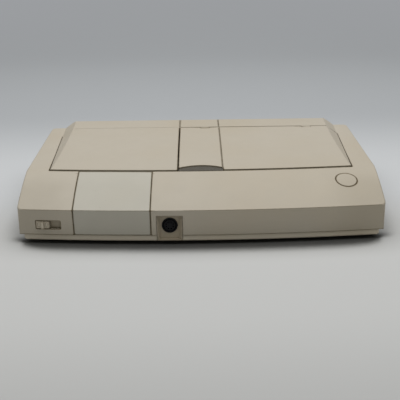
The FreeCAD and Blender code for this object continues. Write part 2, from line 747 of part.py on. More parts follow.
def power_set_back():
    """Set back of the leaning face at the power switch's height."""
    return "(face_lean * (front_edge_height - slot_centre_z) / (front_edge_height - split_height))"


SCREWS = [("-screw_side_x", "screw_front_y"), ("screw_side_x", "screw_front_y"),
          ("-screw_side_x", "screw_rear_y"), ("screw_side_x", "screw_rear_y")]
PILLAR_FOOT = "(split_height + 2)"


def upper_case():
    outer = fuse("case_outer", case_outer_form(), rear_bar())
    shell = cut("case_shell", outer, *case_cavity())
    lugs = []
    for word in ("left", "right"):
        centre = f"lug_{word}_x"
        low, high = f"{centre} - lug_width / 2", f"{centre} + lug_width / 2"
        lugs.append(cylinder(f"lug_{word}_eye", "X", (low, "hinge_y", "hinge_height"), "hinge_radius - 0.2",
                             "lug_width"))
        lugs.append(box(f"lug_{word}_stem", (low, "hinge_y", "hinge_height - hinge_radius + 0.2"),
                        (high, f"{SEAM_Y} + 1", "hinge_height + hinge_radius - 0.2")))
    pillars = []
    pilots = []
    for index, (x, y) in enumerate(SCREWS):
        pillars.append(stub(f"pillar_{index}", (x, y, PILLAR_FOOT), "screw_radius + 3.2",
                            f"{case_top(x, y)} - shell_wall - {PILLAR_FOOT}"))
        pilots.append(cylinder(f"pilot_{index}", "Z", (x, y, "0"), "screw_radius", f"{PILLAR_FOOT} + 14"))
    solid = fuse("case_with_fittings", shell, *lugs, *pillars, *door_bearings())
    recess = recess_prism("lid_recess", "0", "deck_height", SEAM_Y)
    lug_room = [box(f"lug_{word}_keep", (f"lug_{word}_x - lug_width / 2", "hinge_y - hinge_radius",
                                         "hinge_height - 4"),
                    (f"lug_{word}_x + lug_width / 2", "case_depth", FORM_TOP)) for word in ("left",
                                                                                            "right")]
    recess = cut("lid_recess_open", recess, *lug_room)
    well = cylinder("well_hole", "Z", ("disc_x", "disc_y", "0"), "well_radius + well_wall + insert_gap",
                    FORM_TOP)
    button = cylinder("button_hole", "Z", ("button_x", "button_y", "30"), "button_radius + button_gap",
                      FORM_TOP)
    power = turned_box("power_slot", ("0", "0", "0"), ("power_slot_length", "16", "power_slot_height"))
    socket = box("socket_cut", ("-recess_left - insert_gap", "-case_depth", "0"),
                 ("-recess_right + insert_gap", f"{bow_y('recess_left', '0')} + 12",
                  "recess_top + insert_gap"))
    hook = box("hook_slot", ("hook_x - 4", "hook_y - 5", "0"),
               ("hook_x + 4", "hook_y + 4", "deck_height + 1"))
    pins = [cylinder(f"lug_{word}_bore", "X", (f"lug_{word}_x - lug_width", "hinge_y", "hinge_height"),
                     "hinge_pin_radius", "lug_width * 2") for word in ("left", "right")]
    cutters = [recess, well, button, power, socket, hook] + pins + pilots
    cutters += door_cutters() + door_bearing_bores() + rear_openings()
    node("upper_case", cut("upper_case", solid, *cutters))


def case_outer_form():
    body = case_form("case_outer_form", "0", "split_height")
    half, rear = num("case_width / 2"), num(BACK)

    def side_top(edge):
        points = [vertex.Point for vertex in edge.Vertexes]
        on_side = all(abs(abs(p.x) - half) < 1e-3 for p in points)
        return on_side and all(p.z > num("front_edge_height") - 0.5 for p in points)

    bevel_edges(body, "case_side_bevel", side_top, "edge_round * 0.7")
    return body


def rear_openings():
    wall_in, wall_out = f"{BACK} - shell_wall - 1", f"{BACK} + 5"
    pieces = [
        box("expansion_cut", ("expansion_x - 40", wall_in, "expansion_z - 8"),
            ("expansion_x + 40", wall_out, "expansion_z + 8")),
        cylinder("av_cut", "Y", ("av_x", wall_in, "av_z"), "8", "12"),
        box("dc_cut", ("dc_x - 5.5", wall_in, "dc_z - 5.5"), ("dc_x + 5.5", wall_out, "dc_z + 5.5")),
    ]
    for index in range(8):
        x = f"vent_x + {index} * 6"
        pieces.append(box(f"rear_vent_{index}", (x, wall_in, "vent_z - 8"),
                          (f"{x} + 2.6", wall_out, "vent_z + 8")))
    return pieces


# Lower shell


def base_outline(front_back, inset):
    half = f"(case_width / 2 - base_inset - ({inset}))"
    front = bow_y(half, front_back)
    rear = f"{BACK} - base_inset - ({inset})"
    return [(f"-{half}", front), (half, front), (half, rear), (f"-{half}", rear)], bow_crown(half,
                                                                                             front_back)


FLOOR_TOP = "(foot_height + shell_wall)"
BOARD_TOP = "(board_height + board_thick)"


def base_prism(name, front_back, inset, low, high):
    points, crown = base_outline(front_back, inset)
    return prism(name, "Z", points, low, high, {0: crown})


def lower_case():
    tray_front = "face_lean + base_step"
    tray = base_prism("tray_outer", tray_front, "0", "foot_height", "split_height")
    half = num("case_width / 2 - base_inset")
    front = num(bow_y(half, tray_front))
    rear = num(f"{BACK} - base_inset")
    floor_z = num("foot_height")

    def corner(edge):
        return any(is_upright(edge, x, y, 0.5) for x in (-half, half) for y in (front, rear))

    def bottom(edge):
        return all(abs(vertex.Point.z - floor_z) < 1e-3 for vertex in edge.Vertexes)

    fillet_edges(tray, "tray_corners", corner, "corner_front - 1")
    bevel_edges(tray, "tray_bottom_bevel", bottom, "edge_round * 1.2")
    lip = base_prism("tray_lip", "face_lean + shell_wall + 0.6", "shell_wall - 1.5", "split_height - 2",
                     "split_height + 3")
    room = base_prism("tray_room", "face_lean + shell_wall + 2.4", "shell_wall", FLOOR_TOP,
                      "split_height + 5")
    shell = cut("tray_shell", fuse("tray_with_lip", tray, lip), room)
    posts = []
    holes = []
    for index, (x, y) in enumerate(SCREWS):
        posts.append(stub(f"post_{index}", (x, y, "foot_height"), "screw_radius + 3.4",
                          f"{PILLAR_FOOT} - foot_height - 0.2"))
        holes.append(cylinder(f"post_{index}_hole", "Z", (x, y, "0"), "screw_radius + 0.2",
                              "split_height + 5"))
        holes.append(cylinder(f"post_{index}_bore", "Z", (x, y, "0"), "screw_radius + 1.9",
                              "foot_height + 4"))
    for index, (x, y) in enumerate(BOARD_POSTS):
        posts.append(stub(f"board_post_{index}", (x, y, "foot_height + 1"), "3.4",
                          "board_height - foot_height - 1"))
        holes.append(stub(f"board_post_{index}_hole", (x, y, "foot_height + 2"), "1.2", "board_height"))
    for index, (x, y) in enumerate(CHASSIS_POSTS):
        posts.append(stub(f"chassis_post_{index}", (x, y, "foot_height + 1"), "4.2",
                          "chassis_height - foot_height - 7"))
        posts.append(stub(f"chassis_pin_{index}", (x, y, "chassis_height - 7"), "1.6", "8.5"))
    posts.append(stub("spring_post", ("button_x", "button_y", "foot_height + 1"), "3.8",
                      "spring_low - foot_height - 1"))
    posts.append(stub("spring_pin", ("button_x", "button_y", "spring_low - 1"), "1.6", "6"))
    for index, (x, y) in enumerate(FEET):
        holes.append(cylinder(f"foot_seat_{index}", "Z", (x, y, "0"), "foot_radius + 0.05",
                              "foot_height + 0.6"))
    socket = box("tray_socket_cut", ("-recess_left - insert_gap", "-case_depth", "0"),
                 ("-recess_right + insert_gap", f"{bow_y('recess_left', '0')} + 13", "recess_top"))
    vents = []
    for index in range(12):
        x = f"-60 + {index} * 7"
        vents.append(box(f"floor_vent_{index}", (x, "20", "0"), (f"{x} + 3", "60", "split_height")))
    solid = fuse("tray_with_posts", shell, *posts)
    node("lower_case", cut("lower_case", solid, socket, *holes, *vents))


BOARD_POSTS = [("10 - board_half", "48 - case_depth / 2"), ("10 - board_half", "board_rear_y - 9"),
               ("-10", "58 - case_depth / 2"), ("-10", "board_rear_y - 34"),
               ("board_half - 10", "board_rear_y - 34"), ("board_half - 10", "58 - case_depth / 2")]
CHASSIS_POSTS = [("disc_x - 52", "disc_y - 58"), ("disc_x + 52", "disc_y - 58"),
                 ("disc_x - 52", "disc_y + 52"), ("disc_x + 52", "disc_y + 52")]
FEET = [("-foot_x", "foot_front_y"), ("foot_x", "foot_front_y"), ("-foot_x", "foot_rear_y"),
        ("foot_x", "foot_rear_y")]


def feet_and_screws():
    feet = [cylinder(f"foot_{i}", "Z", (x, y, "0"), "foot_radius", "foot_height + 0.6") for i,
            (x, y) in enumerate(FEET)]
    node("rubber_feet", group("rubber_feet", *feet))
    screws = []
    for index, (x, y) in enumerate(SCREWS):
        head = cylinder(f"screw_{index}_head", "Z", (x, y, "foot_height + 1.6"), "screw_radius + 1.6",
                        "2.4")
        shank = stub(f"screw_{index}_shank", (x, y, "foot_height + 3"), "screw_radius", "split_height + 6")
        screws.append(fuse(f"case_screw_{index}", head, shank))
    node("case_screws", group("case_screws", *screws))
    screws = []
    for index, (x, y) in enumerate(BOARD_POSTS):
        head = stub(f"small_{index}_head", (x, y, BOARD_TOP), "2.6", "1.8", 6)
        shank = stub(f"small_{index}_shank", (x, y, f"{BOARD_TOP} - 5"), "1.2", "5.2")
        screws.append(fuse(f"board_screw_{index}", head, shank))
    node("board_screws", group("board_screws", *screws))


# Lid and left panel


def lid_points(inset, low_y_back, high_y):
    """Lid outline in plan: curved notch at the centre strip, straight ends, flaring right side."""
    left = f"(-lid_left + ({inset}))"
    strip = f"(strip_half - ({inset}) * 0)"
    outline, half = block_outline(low_y_back, high_y, f"-({inset})")
    right_front, right_rear = outline[1], outline[2]
    step_back = f"({low_y_back} + notch_back)"
    points = [
        (left, bow_y(left, step_back)),
        (strip, bow_y(strip, step_back)),
        (strip, bow_y(strip, low_y_back)),
        right_front,
        right_rear,
        (left, high_y),
    ]
    return points


def flat_arc_crown(first_x, last_x, set_back):
    """Crown of a bow-concentric arc between two x positions, close enough for a short arc."""
    return f"((({last_x}) - ({first_x}))^2 / (8 * ({BOW_RADIUS} - ({set_back}))))"


def lid_shell(name, points_of, wall, rear_rib):
    """Skin with skirts: outer block trimmed to an outline, less the same block pulled in."""
    outer_points, outer_arcs = points_of("0", "hinge_y")
    outline = prism(name + "_outline", "Z", outer_points, "skirt_height", FORM_TOP, outer_arcs)
    outer = common(name + "_outer", block_form(name + "_block", "0", "skirt_height - 3"), outline)
    inner_points, inner_arcs = points_of(wall, f"hinge_y - ({rear_rib})")
    room = prism(name + "_room", "Z", inner_points, "skirt_height - 2", FORM_TOP, inner_arcs)
    inner = common(name + "_inner", block_form(name + "_inner_block", wall, "skirt_height - 3"), room)
    hollow = cut(name + "_hollow", inner, *side_cutters(name + "_inner_side", num(wall)))
    return outer, hollow


def lid_outline(inset, high_y):
    set_back = f"(slope_depth + front_gap + ({inset}))"
    points = lid_points(inset, set_back, high_y)
    notch_crown = f"-(notch_crown)"
    front_crown = flat_arc_crown("strip_half", "block_front_half", set_back)
    return points, {0: notch_crown, 2: front_crown}


def disc_lid():
    outer, hollow = lid_shell("lid", lid_outline, "lid_wall", "4")
    roll_length = "(block_foot_half + lid_left)"
    roll = cylinder("lid_roll", "X", ("-lid_left", "hinge_y", "hinge_height"), "hinge_radius", roll_length)
    solid = cut("lid_slanted", fuse("lid_with_roll", outer, roll), *side_cutters("lid_side", 0))
    shell = cut("lid_shell", solid, hollow)
    bosses = [stub(f"liner_boss_{i}", (x, y, "liner_top"), "3.2",
                   f"{block_top(x, y)} - lid_wall / 2 - liner_top")
              for i, (x, y) in enumerate(LINER_BOSSES)]
    cutters = []
    for word in ("left", "right"):
        centre = f"lug_{word}_x"
        half = "(lug_width / 2 + lug_gap)"
        cutters.append(box(f"lid_notch_{word}", (f"{centre} - {half}", "hinge_y - hinge_radius - 0.6", "0"),
                           (f"{centre} + {half}", "case_depth", FORM_TOP)))
        cutters.append(cylinder(f"lid_pin_bore_{word}", "X",
                                (f"{centre} - {half} - pin_reach - 0.3", "hinge_y", "hinge_height"),
                                "hinge_pin_radius + pin_clearance", f"2 * ({half} + pin_reach + 0.3)"))
    groove = prism("strip_line", "Z", [
        ("strip_half - strip_groove", "-case_depth"), ("strip_half", "-case_depth"),
        ("strip_half * 0.97", "case_depth"), ("strip_half * 0.97 - strip_groove", "case_depth")],
        "skirt_height", FORM_TOP)
    groove_room = cut("strip_line_floor", groove,
                      block_form("strip_line_block", "groove_depth", "skirt_height - 3"))
    node("disc_lid", cut("disc_lid", fuse("lid_with_bosses", shell, *bosses), groove_room, *cutters))
    pins = [cylinder(f"pin_{word}", "X", (f"lug_{word}_x - lug_width / 2 - pin_reach", "hinge_y",
                                          "hinge_height"),
                     "hinge_pin_radius", "lug_width + 2 * pin_reach") for word in ("left", "right")]
    node("lid_hinge_pins", group("lid_hinge_pins", *pins))


LINER_FRONT = f"({bow_y('liner_right', 'slope_depth + front_gap + lid_wall')} + 6)"
LINER_BOSSES = [("8 - lid_left", f"{LINER_FRONT} + 6"), ("liner_right - 9", f"{LINER_FRONT} + 6"),
                ("8 - lid_left", "liner_rear_y - 8"), ("liner_right - 9", "liner_rear_y - 8"),
                ("disc_x", "liner_rear_y - 8"), ("disc_x", f"{LINER_FRONT} + 5")]


def lid_fittings():
    plate = box("liner_plate", ("6.1 - lid_left", LINER_FRONT, "liner_top - 1.8"),
                ("liner_right", "liner_rear_y", "liner_top"))
    mouth = cylinder("liner_mouth", "Z", ("disc_x", "disc_y", "0"), "13", FORM_TOP)
    ring = cylinder("liner_ring", "Z", ("disc_x", "disc_y", "liner_top"), "18", "2.6")
    ring_room = cylinder("liner_ring_room", "Z", ("disc_x", "disc_y", "liner_top"), "15.6", "9")
    node("lid_liner", cut("lid_liner", fuse("liner_with_ring", plate, ring), mouth, ring_room))
    bar = box("cover_bar", ("disc_x - 18", "disc_y - 4", "liner_top + 2.6"),
              ("disc_x + 18", "disc_y + 4", "liner_top + 3.6"))
    cross = box("cover_cross", ("disc_x - 4", "disc_y - 17", "liner_top + 2.6"),
                ("disc_x + 4", "disc_y + 17", "liner_top + 3.6"))
    node("clamp_cover", fuse("clamp_cover", bar, cross))
    flange = cylinder("puck_flange", "Z", ("disc_x", "disc_y", "liner_top + 0.3"), "15.2", "1.6")
    stem = cylinder("puck_stem", "Z", ("disc_x", "disc_y", "disc_seat + 3.9"), "12.6",
                    "liner_top + 0.5 - disc_seat - 3.9")
    node("clamp_puck", fuse("clamp_puck", flange, stem))
    plate = box("hook_plate", ("hook_x - 2", "hook_y - 1", "hook_low"),
                ("hook_x + 2", "hook_y + 1", "liner_top - 2"))
    foot = box("hook_foot", ("hook_x - 4", "hook_y - 0.9", "liner_top - 3.8"),
               ("hook_x + 4", "hook_y + 8", "liner_top - 1.8"))
    nose = prism("hook_nose", "X", [("hook_y - 1", "hook_low"), ("hook_y - 0.5", "hook_low"),
                                    ("hook_y - 0.5", "hook_low + 3"), ("hook_y - 2.6", "hook_low + 3"),
                                    ("hook_y - 2.6", "hook_low + 2")], "hook_x - 2", "hook_x + 2")
    node("lid_hook", fuse("lid_hook", plate, foot, nose))


def panel_points(inset, set_back, high_y):
    outline, half = block_outline(set_back, high_y, f"-({inset})")
    right = f"(-lid_left - strip_gap - ({inset}))"
    return [outline[0], (right, bow_y(right, set_back)), (right, high_y), outline[3]]


def panel_outline(inset, high_y):
    set_back = f"(slope_depth + front_gap + ({inset}))"
    points = panel_points(inset, set_back, high_y)
    return points, {0: flat_arc_crown("block_front_half", "lid_left", set_back)}


CLIP_OUT, CLIP_IN = "17.6 - block_front_half", "-lid_left - strip_gap - 15.6"
CLIP_FRONT = f"({bow_y('block_front_half - 17.6', 'slope_depth + front_gap')} + 5)"
PANEL_CLIPS = [(CLIP_OUT, CLIP_FRONT), (CLIP_IN, CLIP_FRONT), (CLIP_OUT, "hinge_y - 16.8"),
               (CLIP_IN, "hinge_y - 16.8")]


def left_panel():
    outer, hollow = lid_shell("panel", lambda inset, high: panel_outline(inset, f"{high} + hinge_radius"),
                              "lid_wall", "4.4")
    solid = cut("panel_slanted", outer, *side_cutters("panel_side", 0))
    clips = []
    for index, (x, y) in enumerate(PANEL_CLIPS):
        clips.append(box(f"panel_clip_{index}", (f"{x} - 4", f"{y} - 0.8", "deck_height"),
                         (f"{x} + 4", f"{y} + 0.8", f"{block_top(x, y)} - lid_wall / 2")))
    node("left_panel", fuse("left_panel", cut("panel_shell", solid, hollow), *clips))


def indicator():
    set_back = "(slope_depth + front_gap)"
    left, right = "(-lid_left)", "(strip_half - window_gap)"
    points = [
        (left, bow_y(left, set_back)),
        (right, bow_y(right, set_back)),
        (right, bow_y(right, f"({set_back} + notch_back - window_gap)")),
        (left, bow_y(left, f"({set_back} + notch_back - window_gap)")),
    ]
    arcs = {0: flat_arc_crown(left, right, set_back), 2: "notch_crown"}
    outline = prism("window_outline", "Z", points, "deck_height", FORM_TOP, arcs)
    node("indicator_window", common("indicator_window",
                                    block_form("window_block", "window_drop", "deck_height"), outline))
    board = box("indicator_plate", ("-16", "-66", "deck_height - deck_wall - 5"),
                ("16", "-56", "deck_height - deck_wall - 3.6"))
    lamps = [cylinder(f"lamp_{i}", "Z", (x, "-61", "deck_height - deck_wall - 3.6"), "1.5", "3") for i,
             x in enumerate(("-6", "6"))]
    node("indicator_board", fuse("indicator_board", board, *lamps))


# Card door and bay


def card_door():
    left, right = "-door_left", "-door_right"
    outline = prism("door_outline", "Z", door_outline(left, right, "-8", "door_back"), "split_height + 0.5",
                    FORM_TOP)
    outer = common("door_outer", case_form("door_form", "0", "split_height"), outline)
    inner_left, inner_right = f"({left} + door_wall)", f"({right} - door_wall)"
    skin_cut = case_form("door_inner_form", "door_wall", "split_height - 4")
    shell = cut("door_shell", outer, skin_cut)
    arms = []
    for word, low_x, high_x in (("left", left, inner_left), ("right", inner_right, right)):
        axis_y = door_axis_y(low_x)
        profile = [(f"{axis_y} - 34", "deck_height - 14"), (f"{axis_y} + 1.6", "door_axis_height - 2.4"),
                   (f"{axis_y} + 1.6", "shoulder_height + 8"), (f"{axis_y} - 34", "shoulder_height + 8")]
        arms.append(common(f"door_arm_{word}",
                           case_form(f"door_arm_form_{word}", "door_wall / 2", "split_height"),
                           prism(f"door_arm_{word}_outline", "X", profile, low_x, high_x)))
    pivots = [along_door("door_pivot_left", f"{left} - door_pin_length", "door_pin_radius",
                         "door_pin_length + 1"),
              along_door("door_pivot_right", f"{right} - 1", "door_pin_radius", "door_pin_length + 1")]
    node("card_door", fuse("card_door", shell, *arms, *pivots))


def card_bay():
    left, right = "(-(door_left + door_gap) + 1.2)", "(-(door_right - door_gap) - 1.2)"
    face_y = f"({bow_y(DOOR_MIDDLE, '13')})"
    slot_low, slot_high = "(card_slot_z - card_slot_height / 2)", "(card_slot_z + card_slot_height / 2)"
    slot_left, slot_right = f"({DOOR_MIDDLE} - card_slot_width / 2)", f"({DOOR_MIDDLE} + card_slot_width / 2)"
    plate = box("bay_plate", (left, face_y, FLOOR_TOP), (right, f"{face_y} + 2.5", "36"))
    shelf = box("bay_shelf", (left, face_y, "34"), (right, f"{face_y} + 34", "36"))
    tunnel = box("bay_tunnel", (f"{slot_left} - 2", f"{face_y} + 1", f"{slot_low} - 2"),
                 (f"{slot_right} + 2", f"{face_y} + 34", f"{slot_high} + 2"))
    slot = box("bay_slot", (slot_left, f"{face_y} - 5", slot_low),
               (slot_right, f"{face_y} + 50", slot_high))
    thumb = cylinder("bay_thumb", "Y", (DOOR_MIDDLE, f"{face_y} - 2", "card_slot_z"), "9", "3")
    solid = fuse("bay_solid", plate, shelf, tunnel)
    node("card_bezel", cut("card_bezel", solid, slot, thumb))
    block = box("connector_block", (f"{slot_left} - 2", f"{face_y} + 34.2", BOARD_TOP),
                (f"{slot_right} + 2", f"{face_y} + 46", f"{slot_high} + 2.6"))
    mouth = box("connector_mouth", (slot_left, f"{face_y} + 30", slot_low),
                (slot_right, f"{face_y} + 42", slot_high))
    pins = []
    for index in range(19):
        x = f"{slot_left} + 2.2 + {index} * 2.8"
        pins.append(box(f"contact_{index}", (x, f"{face_y} + 36", slot_low),
                        (f"{x} + 1.2", f"{face_y} + 41.9", f"{slot_low} + 0.7")))
    node("card_connector", cut("card_connector", block, mouth))
    node("card_contacts", group("card_contacts", *pins[:19]))


# Front controls


def open_button():
    top = common("button_top", case_form("button_form", "-0.2", "button_low"),
                 cylinder("button_round", "Z", ("button_x", "button_y", "button_low"), "button_radius",
                          FORM_TOP))
    room = common("button_inside", case_form("button_inner_form", "button_skin", "button_low - 4"),
                  cylinder("button_inside_round", "Z", ("button_x", "button_y", "button_low - 4"),
                           "button_radius - button_skin", FORM_TOP))
    flange = cylinder("button_flange", "Z", ("button_x", "button_y", "button_low"), "button_radius + 1.6",
                      "1.4")
    cup = cut("button_cup", fuse("button_solid", top, flange), room)
    stem = prism("button_stem", "X", [
        ("button_y - 3", "stem_top"), ("button_y - 3", "latch_low + 4"), ("button_y + 1", "latch_low"),
        ("button_y + 1", "spring_high"), ("button_y + 3", "spring_high"), ("button_y + 3", "stem_top")],
        "button_x - 3", "button_x + 3")
    foot = stub("button_foot", ("button_x", "button_y", "spring_high"), "3.6", "1.6")
    foot_room = stub("button_foot_room", ("button_x", "button_y", "spring_high - 1"), "2", "4.4")
    node("open_button", cut("open_button", fuse("button_with_stem", cup, stem, foot), foot_room))
    coil = cylinder("spring_outer", "Z", ("button_x", "button_y", "spring_low"), "3.2",
                    "spring_high - spring_low")
    node("button_spring", cut("button_spring", coil,
                              cylinder("spring_inner", "Z", ("button_x", "button_y", "0"), "2.4",
                                       FORM_TOP)))


def latch():
    """Stepped plate that the button's wedge pushes forward, off the lid's hook."""
    step_y = "(button_y + button_radius + 4.2)"
    tongue_top = "(hook_low + 5.6)"
    plate = box("latch_plate", ("button_x - 8", "button_y - 9", "latch_low"),
                ("button_x + 8", f"{step_y} + 1.5", "latch_low + 2"))
    riser = box("latch_riser", ("button_x - 8", step_y, "latch_low"),
                ("button_x + 8", f"{step_y} + 1.5", tongue_top))
    tongue = box("latch_tongue", ("button_x - 8", step_y, f"{tongue_top} - 2"),
                 ("button_x + 8", "hook_y - 3.7", tongue_top))
    window = box("latch_window", ("button_x - 3.4", "button_y - 1.1", "0"),
                 ("button_x + 3.4", "button_y + 5.4", "latch_low + 3"))
    node("latch_slider", cut("latch_slider", fuse("latch_solid", plate, riser, tongue), window))


def power_switch():
    plate = turned_box("knob_plate", ("-(power_slot_length - knob_length) / 2 + 0.5", "4.4", "0"),
                       ("power_slot_length + knob_travel + 1.7", "1.2", "power_slot_height + 3"))
    cap = turned_box("knob_cap", ("-(power_slot_length - knob_length) / 2 + 0.5", "1.9", "0"),
                     ("knob_length", "4.6", "knob_height"))
    rib = turned_box("knob_rib", ("-(power_slot_length - knob_length) / 2 + 0.5", "-0.6", "0"),
                     ("3.2", "3", "knob_height"))
    dents = [turned_box(f"knob_dent_{i}", (f"-(power_slot_length - knob_length) / 2 + 0.5 + ({x})", "-0.4",
                                           "0"), ("2.2", "0.8", "knob_height - 3"))
             for i, x in enumerate(("-4", "4"))]
    knob = cut("knob_body", fuse("knob_solid", plate, cap, rib), *dents)
    node("power_knob", knob)
    body = turned_box("switch_body", ("0", "11", "-1"), ("22", "9", "8"))
    stand = turned_box("switch_stand", ("0", "11", "-4.6"), ("22", "9", "6"))
    node("power_switch", fuse("power_switch", body, stand))


def controller_socket():
    face_y = f"({bow_y('socket_x', socket_set_back())})"
    left, right = "(-recess_left)", "(-recess_right)"
    outline = [(left, bow_y(left, "0.2")), (right, bow_y(right, "0.2")), (right, f"{face_y} + 11.5"),
               (left, f"{face_y} + 11.5")]
    block = common("plate_block", case_form("plate_form", "0.3", "foot_height"),
                   prism("plate_outline", "Z", outline, "foot_height + 0.6", "recess_top"))
    back = f"({face_y} + recess_depth)"
    hollow = prism("plate_hollow", "Z", [
        (f"{left} + 0.5", f"{face_y} - 3"), (f"{right} - 0.5", f"{face_y} - 3"), (f"{right} - 0.5", face_y),
        (f"{right} - recess_draft", back), (f"{left} + recess_draft", back), (f"{left} + 0.5", face_y)],
        "foot_height + recess_sill", "recess_top - 0.6")
    bore = cylinder("plate_bore", "Y", ("socket_x", f"{back} - 2", "socket_z"), "socket_radius + 0.04",
                    "14")
    node("socket_plate", cut("socket_plate", block, hollow, bore))
    core = cylinder("socket_core", "Y", ("socket_x", f"{back} - 0.8", "socket_z"), "socket_radius", "13")
    ring = cut("socket_ring", cylinder("ring_outer", "Y", ("socket_x", f"{back} - 1", "socket_z"), "6.7",
                                       "7"),
               cylinder("ring_inner", "Y", ("socket_x", f"{back} - 2", "socket_z"), "5.7", "10"))
    holes = []
    for index in range(8):
        angle = f"({index} * 45 + 22.5)"
        spot = (f"socket_x + 3.7 * cos({angle})", f"{back} - 2", f"socket_z + 3.7 * sin({angle})")
        holes.append(stub(f"pin_hole_{index}", spot, "0.75", "7", 6, "Y"))
    rear = box("socket_rear", ("socket_x - 8", f"{back} + 8", BOARD_TOP),
               ("socket_x + 8", f"{back} + 20", "socket_z + 9"))
    node("controller_socket", fuse("controller_socket", cut("socket_front", core, ring, *holes), rear))


def socket_set_back():
    return "(face_lean * (front_edge_height - socket_z) / (front_edge_height - split_height))"


# Electronics


def boards():
    board = box("board_plate", ("-board_half", "28 - case_depth / 2", "board_height"),
                ("board_half", "board_rear_y", BOARD_TOP))
    holes = [stub(f"board_hole_{i}", (x, y, "0"), "1.4", FORM_TOP) for i, (x, y) in enumerate(BOARD_POSTS)]
    holes += [stub(f"board_gap_{i}", (x, y, "0"), "5.4", FORM_TOP) for i,
              (x, y) in enumerate(CHASSIS_POSTS)]
    holes.append(stub("board_spring_gap", ("button_x", "button_y", "0"), "5.4", FORM_TOP))
    holes.append(box("board_socket_gap", ("-recess_left - 3", "-case_depth", "0"),
                     ("-recess_right + 3", "22 - case_depth / 2", FORM_TOP)))
    holes.append(box("board_bay_gap", ("-door_left - 5.7", "-case_depth", "0"),
                     ("4.5 - door_right", f"{bow_y(DOOR_MIDDLE, '13')} + 33", FORM_TOP)))
    node("main_board", cut("main_board", board, *holes))
    chips = []
    for index, (x, y, size) in enumerate(CHIPS):
        chips.append(box(f"chip_{index}", (f"{x} - {size} / 2", f"{y} - {size} / 2", BOARD_TOP),
                         (f"{x} + {size} / 2", f"{y} + {size} / 2", f"{BOARD_TOP} + 2.6")))
    node("board_chips", group("board_chips", *chips))
    cans = []
    for index, (x, y, radius) in enumerate(CANS):
        cans.append(stub(f"can_{index}", (x, y, BOARD_TOP), radius, f"{radius} * 2.2", 12))
    node("capacitors", group("capacitors", *cans))
    shield = box("shield_plate", ("-150", "-10", "26"), ("-20", "80", "26.8"))
    legs = [box(f"shield_leg_{i}", (x, y, BOARD_TOP), (f"{x} + 0.8", f"{y} + 10", "26.4")) for i, (x, y) in
            enumerate((("-150", "0"), ("-150", "60"), ("-20.8", "0"), ("-20.8", "40")))]
    slots = [box(f"shield_slot_{i}", (f"-140 + {i} * 12", "10", "20"),
                 (f"-134 + {i} * 12", "60", "30")) for i in range(9)]
    node("board_shield", cut("board_shield", fuse("shield_solid", shield, *legs), *slots))


CHIPS = [("-110", "20", 24), ("-70", "25", 28), ("-110", "60", 20), ("-60", "65", 16), ("90", "-75", 18),
         ("board_half - 35", "43 - case_depth / 2", 14)]
CANS = [("-135", "70", "4"), ("-135", "50", "4"), ("140", "80", "6"), ("140", "30", "5"),
        ("-36", "20", "3"),
        ("-36", "32", "3")]


def rear_ports():
    inner = f"({BACK} - shell_wall)"
    block = box("expansion_block", ("expansion_x - 38", f"{inner} - 14", BOARD_TOP),
                ("expansion_x + 38", f"{inner} - 0.3", "expansion_z + 9"))
    mouth = box("expansion_mouth", ("expansion_x - 35", f"{inner} - 9", "expansion_z - 5.8"),
                ("expansion_x + 35", BACK, "expansion_z + 5.8"))
    tongue = box("expansion_tongue", ("expansion_x - 33", f"{inner} - 10", "expansion_z - 0.8"),
                 ("expansion_x + 33", f"{inner} - 2", "expansion_z + 0.8"))
    node("expansion_connector", fuse("expansion_connector", cut("expansion_shell", block, mouth), tongue))
    body = cylinder("av_body", "Y", ("av_x", f"{inner} - 12", "av_z"), "7.6", "shell_wall + 11.6")
    back = box("av_back", ("av_x - 8.5", f"{inner} - 16", BOARD_TOP),
               ("av_x + 8.5", f"{inner} - 4", "av_z + 8.5"))
    ring = cut("av_ring", cylinder("av_ring_out", "Y", ("av_x", f"{inner} - 5", "av_z"), "6.6", "12"),
               cylinder("av_ring_in", "Y", ("av_x", f"{inner} - 7", "av_z"), "5.6", "16"))
    node("av_socket", cut("av_socket", fuse("av_solid", body, back), ring))
    rear = box("dc_rear", ("dc_x - 5.2", f"{inner} - 12", BOARD_TOP),
               ("dc_x + 5.2", f"{inner} - 0.3", "dc_z + 5.2"))
    nose = box("dc_nose", ("dc_x - 5.2", f"{inner} - 8", "dc_z - 5.2"),
               ("dc_x + 5.2", f"{BACK} - 0.4", "dc_z + 5.2"))
    jack = fuse("dc_body", rear, nose)
    hole = cylinder("dc_hole", "Y", ("dc_x", f"{inner} - 8", "dc_z"), "3", "20")
    pin = cylinder("dc_pin", "Y", ("dc_x", f"{inner} - 9", "dc_z"), "1", "9.5")
    node("dc_jack", fuse("dc_jack", cut("dc_shell", jack, hole), pin))


# Disc drive


def disc_well():
    wall_low = "(well_floor - 2)"
    outer = cylinder("well_outer", "Z", ("disc_x", "disc_y", wall_low), "well_radius + well_wall",
                     f"deck_height - {wall_low} + 0.5")
    flange = cylinder("well_flange", "Z", ("disc_x", "disc_y", "deck_height"), "well_lip", "0.9")
    inner = cylinder("well_inner", "Z", ("disc_x", "disc_y", "well_floor"), "well_radius", FORM_TOP)
    hub = cylinder("well_hub_hole", "Z", ("disc_x", "disc_y", "0"), "hub_hole", FORM_TOP)
    slot = box("well_slot", ("disc_x - slot_width / 2", "disc_y - slot_reach - 6", "0"),
               ("disc_x + slot_width / 2", "disc_y", "well_floor + 0.5"))
    node("disc_well", cut("disc_well", fuse("well_solid", outer, flange), inner, hub, slot))


